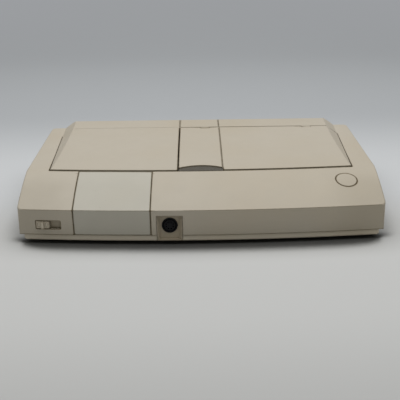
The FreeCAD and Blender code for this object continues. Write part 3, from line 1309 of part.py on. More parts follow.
def chassis():
    low, high = "chassis_height", "(chassis_height + chassis_thick)"
    plate = box("chassis_plate", ("disc_x - 58", "disc_y - 72", low), ("disc_x + 58", "disc_y + 58", high))
    window = box("chassis_window", ("disc_x - 17", "disc_y - 66", "0"),
                 ("disc_x + 17", "disc_y - 11.6", FORM_TOP))
    hub = cylinder("chassis_hub_hole", "Z", ("disc_x", "disc_y", "0"), "6", FORM_TOP)
    holes = [stub(f"chassis_hole_{i}", (x, y, "0"), "1.9", FORM_TOP) for i,
             (x, y) in enumerate(CHASSIS_POSTS)]
    blocks = []
    for index, (sign, y) in enumerate((("-", "disc_y - 71"), ("+", "disc_y - 71"), ("-", "disc_y - 8"),
                                       ("+", "disc_y - 8"))):
        x = f"disc_x {sign} rod_offset"
        blocks.append(box(f"rod_block_{index}", (f"{x} - 3", y, "rod_height - 3"),
                          (f"{x} + 3", f"{y} + 4", f"{low} + 1")))
    rods = [cylinder(f"rod_bore_{i}", "Y", (f"disc_x {sign} rod_offset", "disc_y - 70", "rod_height"),
                     "rod_radius", "65")
            for i, sign in enumerate("-+")]
    gear_post = cylinder("gear_post", "Z", ("gear_x", "gear_y", "rod_height - 8"), "1.2",
                         f"{low} - rod_height + 8.1")
    node("drive_chassis", fuse("drive_chassis",
                               cut("chassis_cut", fuse("chassis_solid", plate, *blocks), window, hub,
                                   *holes, *rods), gear_post))
    bars = [cylinder(f"guide_rod_{i}", "Y", (f"disc_x {sign} rod_offset", "disc_y - 70", "rod_height"),
                     "rod_radius", "65")
            for i, sign in enumerate("-+")]
    node("guide_rods", group("guide_rods", *bars))
    dampers = []
    for index, (x, y) in enumerate(CHASSIS_POSTS):
        ring = stub(f"damper_{index}", (x, y, "chassis_height - 6"), "5.2", "6", 12)
        bore = stub(f"damper_bore_{index}", (x, y, "0"), "1.6", FORM_TOP)
        dampers.append(cut(f"damper_ring_{index}", ring, bore))
    node("chassis_dampers", group("chassis_dampers", *dampers))


def motors():
    body = cylinder("spindle_body", "Z", ("disc_x", "disc_y", "chassis_height - 13"), "11", "13")
    bore = cylinder("spindle_bore", "Z", ("disc_x", "disc_y", "chassis_height - 11"), "1 + pin_clearance",
                    "20")
    node("spindle_motor", cut("spindle_motor", body, bore))
    plate = cylinder("turntable_plate", "Z", ("disc_x", "disc_y", "disc_seat - 2"), "14.5", "2")
    stem = cylinder("turntable_stem", "Z", ("disc_x", "disc_y", "chassis_height + chassis_thick + 0.6"),
                    "4.6", "disc_seat - 2 - chassis_height - chassis_thick")
    cone_low = cylinder("turntable_boss", "Z", ("disc_x", "disc_y", "disc_seat - 1"), "7.3", "2.4")
    cone_top = cone("turntable_cone", "Z", ("disc_x", "disc_y", "disc_seat + 1.4"), "7.3", "5.4", "2")
    shaft = cylinder("turntable_shaft", "Z", ("disc_x", "disc_y", "chassis_height - 10"), "1", "16")
    node("turntable_hub", fuse("turntable_hub", plate, stem, cone_low, cone_top, shaft))
    body = cylinder("sled_motor_body", "Z", ("motor_x", "motor_y", "rod_height - 20"), "7", "11")
    bore = cylinder("sled_motor_bore", "Z", ("motor_x", "motor_y", "rod_height - 18"),
                    "0.8 + pin_clearance", "20")
    arm = box("sled_motor_arm", ("motor_x + 5", "motor_y + 0.4", "rod_height - 18"),
              ("motor_x + 8", "motor_y + 6", "chassis_height"))
    node("sled_motor", cut("sled_motor", fuse("sled_motor_solid", body, arm), bore))


def gear_solid(teeth, module, low, thick, phase, thinning):
    """Spur gear from the involute of its base circle, with a small backlash."""
    pressure = math.radians(20)
    pitch = teeth * module / 2
    base = pitch * math.cos(pressure)
    tip = pitch + 0.85 * module
    root = pitch - 1.15 * module
    half = math.pi / (2 * teeth) - thinning / (2 * pitch)
    roll = math.tan(pressure) - pressure

    def flank_angle(radius):
        if radius <= base:
            return half + roll
        lean = math.acos(base / radius)
        return half + roll - (math.tan(lean) - lean)

    radii = [root, (max(base, root) + tip) / 2, tip]
    points = []
    for tooth in range(teeth):
        middle = 2 * math.pi * tooth / teeth + phase
        flank = [(radius, flank_angle(radius)) for radius in radii]
        for radius, angle in flank:
            points.append(Vector(radius * math.cos(middle - angle), radius * math.sin(middle - angle), low))
        for radius, angle in reversed(flank):
            points.append(Vector(radius * math.cos(middle + angle), radius * math.sin(middle + angle), low))
    face = Part.Face(Part.makePolygon(points + points[:1]))
    return face.extrude(Vector(0, 0, thick))


def gears():
    """Compound feed gear on the rack, and the motor's pinion on its large wheel."""
    spot = Vector(num("gear_x"), num("gear_y"), 0)
    thin = num("gear_backlash")
    wheel_low = num("rod_height") - 7.6
    pinion_height = 10
    small = gear_solid(PINION_TEETH, num("rack_module"), wheel_low, pinion_height, 0, thin)
    large = gear_solid(WHEEL_TEETH, num("wheel_module"), wheel_low, 2.2, 0, thin * 0.6)
    hole = Part.makeCylinder(num("1.2 + pin_clearance"), 20, Vector(0, 0, wheel_low - 5))
    solid = small.fuse(large).cut(hole)
    feed = coded("feed_gear", solid)
    feed.Placement = FreeCAD.Placement(spot, FreeCAD.Rotation())
    node("feed_gear", feed)
    motor = Vector(num("motor_x"), num("motor_y"), 0)
    away = spot.sub(motor)
    toward = math.atan2(away.y, away.x)
    mesh_phase = toward + math.pi / MOTOR_TEETH + (toward + math.pi) * WHEEL_TEETH / MOTOR_TEETH
    pinion = gear_solid(MOTOR_TEETH, num("wheel_module"), wheel_low - 0.4, 3, mesh_phase, thin * 0.6)
    shaft = Part.makeCylinder(0.8, 9, Vector(0, 0, wheel_low - 8))
    drive = coded("motor_pinion", pinion.fuse(shaft))
    drive.Placement = FreeCAD.Placement(motor, FreeCAD.Rotation())
    node("motor_pinion", drive)


PINION_TEETH = 12
WHEEL_TEETH = 36
MOTOR_TEETH = 10


def rack_solid(line_x, middle_y, count, low, thick, module, thinning):
    """Rack whose pitch line is at line_x, with teeth towards +X and one tooth at middle_y."""
    pitch = math.pi * module
    length = count * pitch
    slant = math.tan(math.radians(20))
    tip, root = 0.85 * module, 1.15 * module
    half = pitch / 4 - thinning / 2
    points = [Vector(line_x - root - 2, middle_y - length / 2, low)]
    points.append(Vector(line_x - root, middle_y - length / 2, low))
    for index in range(count):
        centre = middle_y + (index - count / 2 + 0.5) * pitch
        points.append(Vector(line_x - root, centre - half - root * slant, low))
        points.append(Vector(line_x + tip, centre - half + tip * slant, low))
        points.append(Vector(line_x + tip, centre + half - tip * slant, low))
        points.append(Vector(line_x - root, centre + half + root * slant, low))
    points.append(Vector(line_x - root, middle_y + length / 2, low))
    points.append(Vector(line_x - root - 2, middle_y + length / 2, low))
    face = Part.Face(Part.makePolygon(points + points[:1]))
    return face.extrude(Vector(0, 0, thick))


def pickup():
    y = "(disc_y - sled_rest)"
    low, high = "(rod_height - 5)", "(rod_height + 3.5)"
    block = box("sled_block", ("disc_x - 26", f"{y} - 7", low), ("disc_x + 26", f"{y} + 7", high))
    tower = box("sled_tower", ("disc_x - 7", f"{y} - 7", high),
                ("disc_x + 7", f"{y} + 7", "well_floor - 4"))
    well = cylinder("sled_lens_room", "Z", ("disc_x", y, f"{high} - 2"), "5.6", FORM_TOP)
    bores = [cylinder(f"sled_bore_{i}", "Y", (f"disc_x {sign} rod_offset", "-case_depth", "rod_height"),
                      "rod_radius + pin_clearance", "case_depth * 2")
             for i, sign in enumerate("-+")]
    hollow = box("sled_relief", ("disc_x - 15", f"{y} - 5", f"{low} - 1"),
                 ("disc_x + 15", f"{y} + 5", f"{low} + 3"))
    solid = cut("sled_cut", fuse("sled_solid", block, tower), well, hollow, *bores)
    line_x = num("gear_x") - PINION_TEETH * num("rack_module") / 2
    pitch = math.pi * num("rack_module")
    rack = coded("sled_rack", rack_solid(line_x, num("gear_y") + 4.5 * pitch, int(num("rack_pitches")),
                                         num("rod_height") - 2, 4, num("rack_module"), num("gear_backlash")))
    node("pickup_sled", fuse("pickup_sled", solid, rack))
    ring = cylinder("lens_ring", "Z", ("disc_x", y, f"{high} - 1"), "5",
                    "well_floor + 0.8 - rod_height - 2.5")
    dome = cylinder("lens_dome", "Z", ("disc_x", y, "well_floor"), "2.2", "1.2")
    node("pickup_lens", fuse("pickup_lens", ring, dome))


def check_model():
    """Stops at a failed feature or a bad shape, before anything is written."""
    for item in doc.Objects:
        if "Invalid" in item.State or "Error" in item.State:
            raise RuntimeError(f"{item.Name}: {item.State}")
    for name, item in nodes.items():
        if item.Shape.isNull() or not item.Shape.isValid():
            raise RuntimeError(f"{name}: no valid shape")


def write_parts():
    os.makedirs("parts", exist_ok=True)
    for name, item in nodes.items():
        item.Shape.exportStep(f"parts/{name}.step")
        size = item.Shape.BoundBox
        print(f"{name}: {len(item.Shape.Solids)} solids, {item.Shape.Volume / 1000:.2f} cm3, "
              f"z {size.ZMin:.1f} to {size.ZMax:.1f}")


def main():
    upper_case()
    lower_case()
    feet_and_screws()
    disc_lid()
    lid_fittings()
    left_panel()
    indicator()
    card_door()
    card_bay()
    open_button()
    latch()
    power_switch()
    controller_socket()
    boards()
    rear_ports()
    disc_well()
    chassis()
    motors()
    gears()
    pickup()
    doc.recompute()
    check_model()
    write_parts()


main()
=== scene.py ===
"""Dresses a top-loading game console: aged ivory plastic, drive, boards, stage and camera."""
import math

import bmesh
import bpy
from bpy.props import FloatProperty, FloatVectorProperty, PointerProperty
from bpy.types import Operator, Panel, PropertyGroup
from mathutils import Matrix, Vector


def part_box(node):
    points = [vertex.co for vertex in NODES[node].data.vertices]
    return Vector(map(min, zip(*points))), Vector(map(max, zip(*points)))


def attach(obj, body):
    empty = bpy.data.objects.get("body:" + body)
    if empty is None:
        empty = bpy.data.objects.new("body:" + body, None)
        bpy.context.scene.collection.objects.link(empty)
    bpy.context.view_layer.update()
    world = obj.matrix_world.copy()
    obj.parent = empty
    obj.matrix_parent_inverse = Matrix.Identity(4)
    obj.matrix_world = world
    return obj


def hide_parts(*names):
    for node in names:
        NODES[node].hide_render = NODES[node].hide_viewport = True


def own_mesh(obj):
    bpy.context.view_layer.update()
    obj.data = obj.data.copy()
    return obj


bl_info = {
    "name": "Game console",
    "version": (1, 0, 0),
    "blender": (4, 5, 0),
    "location": "View3D > Sidebar > Console",
    "description": "Finishes the pieces of a top-loading game console and lays its photo stage",
    "category": "Object",
}

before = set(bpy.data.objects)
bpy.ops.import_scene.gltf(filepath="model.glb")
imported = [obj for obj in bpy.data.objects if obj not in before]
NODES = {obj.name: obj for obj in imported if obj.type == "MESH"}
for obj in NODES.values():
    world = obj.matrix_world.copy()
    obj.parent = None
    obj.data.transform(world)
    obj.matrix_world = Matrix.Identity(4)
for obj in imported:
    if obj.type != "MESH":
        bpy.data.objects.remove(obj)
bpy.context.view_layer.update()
REAR_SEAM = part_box("left_panel")[1][1]
PLATE_LEFT, PLATE_RIGHT = (corner[0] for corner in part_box("socket_plate"))
PLATE_MIDDLE = (PLATE_LEFT + PLATE_RIGHT) / 2
PLATE_HALF = (PLATE_RIGHT - PLATE_LEFT) / 2


def colour_property(name, default, description):
    """Colour that a user can change."""
    return FloatVectorProperty(name=name, description=description, default=default,
                               subtype="COLOR", size=3, min=0.0, max=1.0)


class ConsoleLooks(PropertyGroup):
    """Colours and finish of the console."""

    case: colour_property("Case", (0.520, 0.470, 0.393), "Yellowed ivory of the shells, panel and lid")
    door: colour_property("Card door", (0.520, 0.494, 0.432), "Paler ivory of the flap over the card slot")
    window: colour_property("Indicator window", (0.114, 0.102, 0.084), "Smoked window in the lid's notch")
    liner: colour_property("Inner plastic", (0.235, 0.235, 0.240),
                           "Grey mouldings inside the lid and the disc well")
    board: colour_property("Boards", (0.030, 0.150, 0.070), "Lacquer of the circuit boards")
    grain: FloatProperty(name="Grain", description="Size of the moulded surface grain",
                         default=0.00035, min=0.0001, max=0.002, unit="LENGTH")
    # Strength of the darkened seams: partly soiling, partly painted shade in the gaps and on their rims.
    grime_and_shade: FloatProperty(name="Grime", description="Dirt that has settled in the seams", default=0.95,
                         min=0.0, max=1.0, subtype="FACTOR")
    wear: FloatProperty(name="Wear", description="Scuffs on the open surfaces", default=0.5,
                        min=0.0, max=1.0, subtype="FACTOR")


class ConsoleStage(PropertyGroup):
    """Camera, lamps and floor."""

    lens: FloatProperty(name="Lens", description="Focal length of the camera", default=71.766,
                        min=10.0, max=300.0, unit="CAMERA")
    pitch: FloatProperty(name="Pitch", description="How far the camera looks down",
                         default=math.radians(20.448), subtype="ANGLE")
    yaw: FloatProperty(name="Yaw", description="How far the camera turns to the right",
                       default=math.radians(0.203), subtype="ANGLE")
    roll: FloatProperty(name="Roll", description="Tilt of the picture",
                        default=math.radians(0.716), subtype="ANGLE")
    eye: FloatVectorProperty(name="Eye", description="Place of the camera", subtype="TRANSLATION", size=3,
                             default=(-0.00408, -0.84098, 0.31798))
    lamp: FloatProperty(name="Lamp", description="Power of the overhead softbox", default=19.2, min=0.0)
    fill: FloatProperty(name="Fill", description="Brightness of the surroundings", default=0.155, min=0.0)
    floor: colour_property("Floor", (0.612, 0.614, 0.616), "Paper under the console")
    back: colour_property("Backdrop", (0.458, 0.474, 0.498), "Paper far behind the console")
    distance: colour_property("Distance", (0.335, 0.345, 0.360), "Even tone where the paper ends")


class Flow:
    """A socket in an expression: each operator adds the Math node that it stands for."""

    def __init__(self, bench, socket):
        self.bench = bench
        self.socket = socket

    def math(self, operation, *others):
        """Adds a Math node over this value and the others."""
        return self.bench.put("ShaderNodeMath", {"operation": operation}, dict(enumerate((self, *others))))

    def __add__(self, other):
        return self.math("ADD", other)

    def __mul__(self, other):
        return self.math("MULTIPLY", other)

    def __sub__(self, other):
        return self.math("SUBTRACT", other)

    def __rsub__(self, other):
        return self.bench.put("ShaderNodeMath", {"operation": "SUBTRACT"}, {0: other, 1: self})

    __radd__ = __add__
    __rmul__ = __mul__

    def band(self, low, high, start=0.0, end=1.0):
        """Smooth step of the value from low to high."""
        return self.bench.put("ShaderNodeMapRange", {"interpolation_type": "SMOOTHSTEP"},
                              {0: self, 1: low, 2: high, 3: start, 4: end})


class Bench:
    """A new material and the nodes put into it."""

    def __init__(self, name):
        self.material = bpy.data.materials.new(name)
        self.material.use_nodes = True
        self.tree = self.material.node_tree
        self.shader = next(n for n in self.tree.nodes if n.type == "BSDF_PRINCIPLED")

    def put(self, kind, settings=None, inputs=None, out=0):
        """Adds a node, its settings first, and gives one of its outputs."""
        node = self.tree.nodes.new(kind)
        for name, value in (settings or {}).items():
            setattr(node, name, value)
        for key, value in (inputs or {}).items():
            self.feed(node.inputs[key], value)
        return Flow(self, node.outputs[out])

    def feed(self, socket, value):
        """Links the socket to a flow, or sets it to a value."""
        if isinstance(value, Flow):
            self.tree.links.new(value.socket, socket)
        elif socket.type == "RGBA":
            socket.default_value = (*value[:3], 1.0)
        else:
            socket.default_value = value

    def place(self, stretch=(1.0, 1.0, 1.0)):
        """Metres from the console's origin, which travel with the piece."""
        spot = self.put("ShaderNodeTexCoord", out="Object")
        return self.put("ShaderNodeVectorMath", {"operation": "MULTIPLY"}, {0: spot, 1: stretch})

    def noise(self, size, detail=2.0, stretch=(1.0, 1.0, 1.0)):
        """Cloudy noise whose features are about size metres across."""
        return self.put("ShaderNodeTexNoise", None,
                        {"Vector": self.place(stretch), "Scale": 1.0 / size, "Detail": detail})

    def cells(self, size):
        """Distance from the nearest of scattered points about size metres apart."""
        return self.put("ShaderNodeTexVoronoi", {"feature": "F1"},
                        {"Vector": self.place(), "Scale": 1.0 / size}, out="Distance")

    def tint(self, factor, first, second, blend="MIX"):
        """Colour between first and second."""
        return self.put("ShaderNodeMix", {"data_type": "RGBA", "blend_type": blend},
                        {0: factor, 6: first, 7: second}, out=2)

    def crevice(self, reach, samples=6):
        """One in corners and seams, nought in the open."""
        open_share = self.put("ShaderNodeAmbientOcclusion", {"samples": samples}, {"Distance": reach},
                              out="AO")
        return 1.0 - open_share

    def rim(self, reach):
        """One on the sharp rims of a piece, nought on its faces and rounded edges."""
        thick_share = self.put("ShaderNodeAmbientOcclusion",
                               {"samples": 8, "inside": True, "only_local": True},
                               {"Distance": reach}, out="AO")
        return (1.0 - thick_share).band(0.16, 0.36)

    def along(self, axis):
        """Metres from the console's origin along one axis."""
        return self.put("ShaderNodeSeparateXYZ", None, {0: self.place()}, out=axis)

    def facing(self, axis):
        """How squarely the surface faces along one axis."""
        normal = self.put("ShaderNodeNewGeometry", out="Normal")
        return self.put("ShaderNodeSeparateXYZ", None, {0: normal}, out=axis)

    def bump(self, height, depth, strength, under=None):
        """Relief of the given depth in metres, over the normal under it."""
        inputs = {"Height": height, "Distance": depth, "Strength": strength}
        if under is not None:
            inputs["Normal"] = under
        return self.put("ShaderNodeBump", None, inputs)

    def soft_edges(self, radius):
        """Normal that shades the edges as if rounded to the radius."""
        return self.put("ShaderNodeBevel", {"samples": 4}, {"Radius": radius})

    def finish(self, **values):
        """Feeds the shader; an underscore in a name stands for a space."""
        for name, value in values.items():
            self.feed(self.shader.inputs[name.replace("_", " ")], value)
        return self.material


def scaled(colour, factor):
    """Lighter or darker, with no channel above one."""
    return tuple(min(1.0, c * factor) for c in colour)


def warmed(colour, amount):
    """Towards the yellow of aged plastic."""
    return (colour[0], colour[1] * (1 - 0.35 * amount), colour[2] * (1 - amount))


# Finishes: places, reaches and sizes are in metres

SIDE_EDGES = (0.118, 0.128)
REARWARDS = (-0.045, 0.005)
SEAM_HALF = (0.001, 0.0025)
FRONT_FACE = (-0.1, -0.095)
PLATE_MARGIN = 0.003
SHADED_ENDS = (0.12, 0.16)
SHADED_FRONT = (-0.085, -0.055)
# Reaches of the painted shade and soiling in the gaps and on the rims beside them.
DIRT_AND_SHADE_REACH = 0.0032
RIM_DIRT_AND_SHADE_REACH = 0.0016
LENS_RIM = (0.0021, 0.0023)


def dirt_and_shade_share(bench):
    """Share of the seams' soiling and painted shade: less beside and behind the lid and round the socket's
    plate.
    """
    beside = bench.along("X").math("ABSOLUTE").band(*SIDE_EDGES)
    behind = bench.along("Y").band(*REARWARDS)
    rear_seam = (bench.along("Y") - REAR_SEAM).math("ABSOLUTE").band(*SEAM_HALF, 1.0, 0.0)
    across = (bench.along("X") - PLATE_MIDDLE).math("ABSOLUTE")
    recess = across.band(PLATE_HALF, PLATE_HALF + PLATE_MARGIN, 1.0, 0.0)
    front = bench.along("Y").band(*FRONT_FACE, 1.0, 0.0)
    return (1.0 - beside * behind * 0.8) * (1.0 - rear_seam * 0.9) * (1.0 - recess * front * 0.75)


def aged_shell(name, colour, looks, yellowing=0.06, edge=0.0005, grime_and_shade=1.0):
    """Matte moulded plastic: fine grain, uneven yellowing, scuffs, and painted shade at the front's ends and
    in its soiled seams.
    """
    bench = Bench(name)
    cloud = bench.noise(0.11).band(0.35, 0.7)
    patch = bench.noise(0.018, 3.0).band(0.35, 0.7)
    base = bench.tint(cloud, scaled(colour, 1.015), warmed(scaled(colour, 0.985), yellowing))
    base = bench.tint(patch * 0.35, base, scaled(colour, 0.965))
    # Painted shade: the front slope darker towards both its ends.
    ends = bench.along("X").math("ABSOLUTE").band(*SHADED_ENDS)
    ends = ends * bench.along("Y").band(*SHADED_FRONT, 1.0, 0.0)
    base = bench.tint(ends, base, (0.90, 0.895, 0.88), "MULTIPLY")
    speck = bench.cells(0.0046).band(0.055, 0.085, 1.0, 0.0) * bench.noise(0.03).band(0.52, 0.62)
    base = bench.tint(speck * looks.wear, base, warmed(scaled(colour, 0.45), 0.2))
    scratch = bench.noise(0.0011, 3.0, (0.05, 1.0, 1.0)).band(0.68, 0.74) * bench.noise(0.02).band(0.5, 0.62)
    base = bench.tint(scratch * (0.35 * looks.wear), base, scaled(colour, 1.16))
    # Seams darkened partly by soiling and partly by painted shade where the gaps fall into shade.
    dirt_and_shade_patches = bench.noise(0.006, 3.0).band(0.2, 0.6, 0.7, 1.0) * dirt_and_shade_share(bench)
    seam_dirt_and_shade = bench.crevice(DIRT_AND_SHADE_REACH).band(0.2, 0.62) * dirt_and_shade_patches
    # Painted shade with some soiling on the sharp rims beside the seams, which widens the dark seam lines.
    base = bench.tint(bench.rim(RIM_DIRT_AND_SHADE_REACH) * dirt_and_shade_patches * (0.9 * grime_and_shade * looks.grime_and_shade), base,
                      warmed(scaled(colour, 0.24), 0.75))
    # Painted shade with some soiling inside the gaps and crevices.
    base = bench.tint(seam_dirt_and_shade * (grime_and_shade * looks.grime_and_shade), base, warmed(scaled(colour, 0.11), 0.7))
    rough = 0.56 + patch * 0.06 - scratch * 0.12 + seam_dirt_and_shade * 0.15
    grain = bench.noise(looks.grain) + bench.noise(looks.grain * 3.0, 1.0) * 0.4
    normal = bench.bump(grain - scratch * 0.6, 0.00002, 0.55, bench.soft_edges(edge))
    return bench.finish(Base_Color=base, Roughness=rough, Normal=normal, Specular_IOR_Level=0.42)


def inner_plastic(name, colour, rough=0.45, dust=0.25, gloss=0.5):
    """Moulded plastic inside: even colour, faint flow marks, dust that lies on it."""
    bench = Bench(name)
    flow = bench.noise(0.03, 3.0, (1.0, 0.4, 1.0)).band(0.3, 0.7)
    base = bench.tint(flow, scaled(colour, 0.92), scaled(colour, 1.08))
    lint = bench.noise(0.0022, 4.0).band(0.6, 0.72) * bench.noise(0.016).band(0.45, 0.6)
    base = bench.tint(lint * dust, base, (0.42, 0.41, 0.38))
    normal = bench.bump(bench.noise(0.0004), 0.000012, 0.5, bench.soft_edges(0.0003))
    return bench.finish(Base_Color=base, Roughness=rough + flow * 0.08 + lint * 0.2, Normal=normal,
                        Specular_IOR_Level=gloss)


def smoked_window(name, colour):
    """Dark polished plastic with a clear coat and fine wiping marks."""
    bench = Bench(name)
    wipe = bench.noise(0.0009, 3.0, (0.12, 1.0, 1.0)).band(0.58, 0.7)
    base = bench.tint(bench.noise(0.012, 2.0), scaled(colour, 0.88), scaled(colour, 1.18))
    normal = bench.bump(wipe, 0.000004, 0.5, bench.soft_edges(0.0003))
    return bench.finish(Base_Color=base, Roughness=0.24 + wipe * 0.1, Normal=normal, Coat_Weight=0.25,
                        Coat_Roughness=0.12)


def brushed_metal(name, colour, stretch=(0.04, 1.0, 1.0)):
    """Rolled sheet with a grain along one way and dull spots."""
    bench = Bench(name)
    lines = bench.noise(0.0006, 3.0, stretch)
    dull = bench.noise(0.012, 3.0).band(0.5, 0.72)
    base = bench.tint(lines, scaled(colour, 0.9), scaled(colour, 1.06))
    base = bench.tint(dull * 0.15, base, scaled(colour, 0.55))
    normal = bench.bump(lines, 0.000006, 0.6, bench.soft_edges(0.00025))
    return bench.finish(Base_Color=base, Metallic=1.0, Normal=normal,
                        Roughness=0.34 + lines * 0.12 + dull * 0.12)


def ground_steel(name):
    """Polished rods, pins and spring wire with a thin film of grease."""
    bench = Bench(name)
    film = bench.noise(0.004, 3.0).band(0.4, 0.7)
    turned = bench.noise(0.0003, 2.0, (1.0, 0.2, 1.0))
    base = bench.tint(film, (0.66, 0.66, 0.67), (0.52, 0.51, 0.48))
    return bench.finish(Base_Color=base, Metallic=1.0, Roughness=0.16 + film * 0.2,
                        Normal=bench.bump(turned, 0.000003, 0.5))


def lacquered_board(name, colour):
    """Circuit board: solder mask over straight tracks, with tinned pads and vias."""
    bench = Bench(name)
    tracks = bench.put("ShaderNodeTexBrick", {"offset": 0.37, "squash": 0.6, "squash_frequency": 3},
                       {"Vector": bench.place(), "Color1": (1, 1, 1), "Color2": (0.86, 0.86, 0.86),
                        "Mortar": (0, 0, 0), "Scale": 1.0, "Mortar Size": 0.00035, "Mortar Smooth": 0.2,
                        "Brick Width": 0.017, "Row Height": 0.0021}, out="Color")
    line = bench.put("ShaderNodeSeparateColor", None, {0: tracks})
    via = bench.cells(0.0064).band(0.075, 0.1, 1.0, 0.0)
    base = bench.tint(line, scaled(colour, 0.55), scaled(colour, 1.15))
    base = bench.tint(via, base, (0.66, 0.65, 0.62))
    normal = bench.bump(1.0 - line, 0.00004, 0.5)
    return bench.finish(Base_Color=base, Metallic=via, Roughness=0.32 + bench.noise(0.008, 2.0) * 0.15,
                        Normal=normal, Coat_Weight=0.15)


def soft_rubber(name):
    """Black rubber with a grey bloom in patches."""
    bench = Bench(name)
    bloom = bench.noise(0.005, 4.0).band(0.45, 0.75)
    base = bench.tint(bloom * 0.5, (0.022, 0.022, 0.022), (0.075, 0.073, 0.07))
    return bench.finish(Base_Color=base, Roughness=0.82 - bloom * 0.1,
                        Normal=bench.bump(bench.noise(0.0006, 3.0), 0.00003, 0.5))


def gear_plastic(name):
    """Pale gear plastic with amber grease in spots."""
    bench = Bench(name)
    grease = bench.noise(0.003, 3.0).band(0.52, 0.66)
    base = bench.tint(grease * 0.5, (0.72, 0.71, 0.67), (0.50, 0.44, 0.30))
    return bench.finish(Base_Color=base, Roughness=0.4 - grease * 0.22,
                        Normal=bench.bump(grease, 0.00005, 0.4, bench.soft_edges(0.0002)))


def coated_lens(name):
    """Small objective: dark holder ring round a blue-violet glass dome."""
    bench = Bench(name)
    lens_low, lens_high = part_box("pickup_lens")
    middle = [(a + b) / 2 for a, b in zip(lens_low, lens_high)]
    offset = bench.put("ShaderNodeVectorMath", {"operation": "SUBTRACT"},
                       {0: bench.place((1.0, 1.0, 0.0)), 1: (middle[0], middle[1], 0.0)})
    away = bench.put("ShaderNodeVectorMath", {"operation": "LENGTH"}, {0: offset}, out="Value")
    glass = away.band(*LENS_RIM, 1.0, 0.0)
    base = bench.tint(glass, (0.035, 0.035, 0.038), (0.10, 0.13, 0.32))
    return bench.finish(Base_Color=base, Roughness=0.5 - glass * 0.46, Coat_Weight=glass,
                        Normal=bench.bump(bench.noise(0.0005, 2.0) * (1.0 - glass), 0.00001, 0.4))


def chip_body(name):
    """Black moulded packages with a fine matte surface."""
    bench = Bench(name)
    base = bench.tint(bench.noise(0.0015, 3.0), (0.016, 0.016, 0.018), (0.036, 0.036, 0.038))
    return bench.finish(Base_Color=base, Roughness=0.52,
                        Normal=bench.bump(bench.noise(0.0003, 2.0), 0.00001, 0.6, bench.soft_edges(0.0003)))


def capacitor_sleeve(name):
    """Dark sleeve with a plain stripe and a bare metal top."""
    bench = Bench(name)
    top = bench.facing("Z").band(0.8, 0.9)
    stripe = bench.facing("X").band(0.86, 0.9)
    sleeve = bench.tint(stripe, (0.02, 0.022, 0.05), (0.45, 0.46, 0.48))
    base = bench.tint(top, sleeve, (0.7, 0.7, 0.7))
    return bench.finish(Base_Color=base, Metallic=top, Roughness=0.38, Normal=bench.soft_edges(0.0003))


# Wound wire

SPRING_WIRE = 0.0007
SPRING_TURNS = 7.0
STEPS_PER_TURN = 24
WIRE_SIDES = 8


def spring_mesh(outside, length, wire, turns):
    """Compression spring from z = 0 upwards, with a flat turn closed on its neighbour at each end."""
    mesh = bpy.data.meshes.new("button_coil")
    form = bmesh.new()
    steps = int(turns * STEPS_PER_TURN)
    around = [2 * math.pi * side / WIRE_SIDES for side in range(WIRE_SIDES)]
    rings = []
    for step in range(steps + 1):
        turn = turns * step / steps
        spread = (length - 3 * wire) * max(0.0, min(1.0, (turn - 1.0) / (turns - 2.0)))
        height = wire / 2 + spread + wire * min(turn, 1.0) + wire * max(0.0, turn - turns + 1.0)
        angle = 2 * math.pi * turn
        out = Vector((math.cos(angle), math.sin(angle), 0.0))
        centre = out * (outside - wire / 2) + Vector((0.0, 0.0, height))
        rings.append([form.verts.new(centre + out * (wire / 2 * math.cos(a))
                                     + Vector((0.0, 0.0, wire / 2 * math.sin(a)))) for a in around])
    for ring, after in zip(rings, rings[1:]):
        for side in range(WIRE_SIDES):
            beside = (side + 1) % WIRE_SIDES
            form.faces.new((ring[side], after[side], after[beside], ring[beside])).smooth = True
    form.faces.new(rings[0])
    form.faces.new(rings[-1][::-1])
    bmesh.ops.recalc_face_normals(form, faces=form.faces)
    form.to_mesh(mesh)
    form.free()
    return mesh


# Dressing


def dress(material, *names):
    """Gives the nodes the material in every one of their slots."""
    for name in names:
        slots = NODES[name].data.materials
        slots.clear()
        slots.append(material)


class Piece:
    """What every finishing operator shares."""

    bl_options = {"REGISTER", "UNDO"}

    def execute(self, context):
        self.work(context.scene.console_looks)
        return {"FINISHED"}


class CONSOLE_OT_shells(Piece, Operator):
    """Finish both shells, the left panel, the lid and the socket's plate"""

    bl_idname = "console.shells"
    bl_label = "Shells and lid"

    def work(self, looks):
        case = aged_shell("aged_ivory", looks.case, looks)
        dress(case, "upper_case", "left_panel", "disc_lid")
        # Painted light: the lower shell is a much lighter copy of the case colour, lifting its band that sits
        # in shade.
        dress(aged_shell("base_ivory_painted_light", scaled(looks.case, 1.32), looks, grime_and_shade=0.4), "lower_case")
        # Painted shade: the socket's plate is a darker, yellower copy of the case colour, for the shade and
        # warm bounce light in its recess.
        dress(aged_shell("plate_ivory_painted_shade", warmed(scaled(looks.case, 0.85), 0.12), looks, 0.10, grime_and_shade=0.35),
              "socket_plate")


class CONSOLE_OT_card_door(Piece, Operator):
    """Finish the paler flap over the card slot"""

    bl_idname = "console.card_door"
    bl_label = "Card door"

    def work(self, looks):
        dress(aged_shell("pale_ivory", looks.door, looks, 0.03), "card_door")


class CONSOLE_OT_indicator(Piece, Operator):
    """Finish the smoked half-moon window and the lamp board under it"""

    bl_idname = "console.indicator"
    bl_label = "Indicator window"

    def work(self, looks):
        dress(smoked_window("smoked_window", looks.window), "indicator_window")
        dress(lacquered_board("lamp_board", looks.board), "indicator_board")


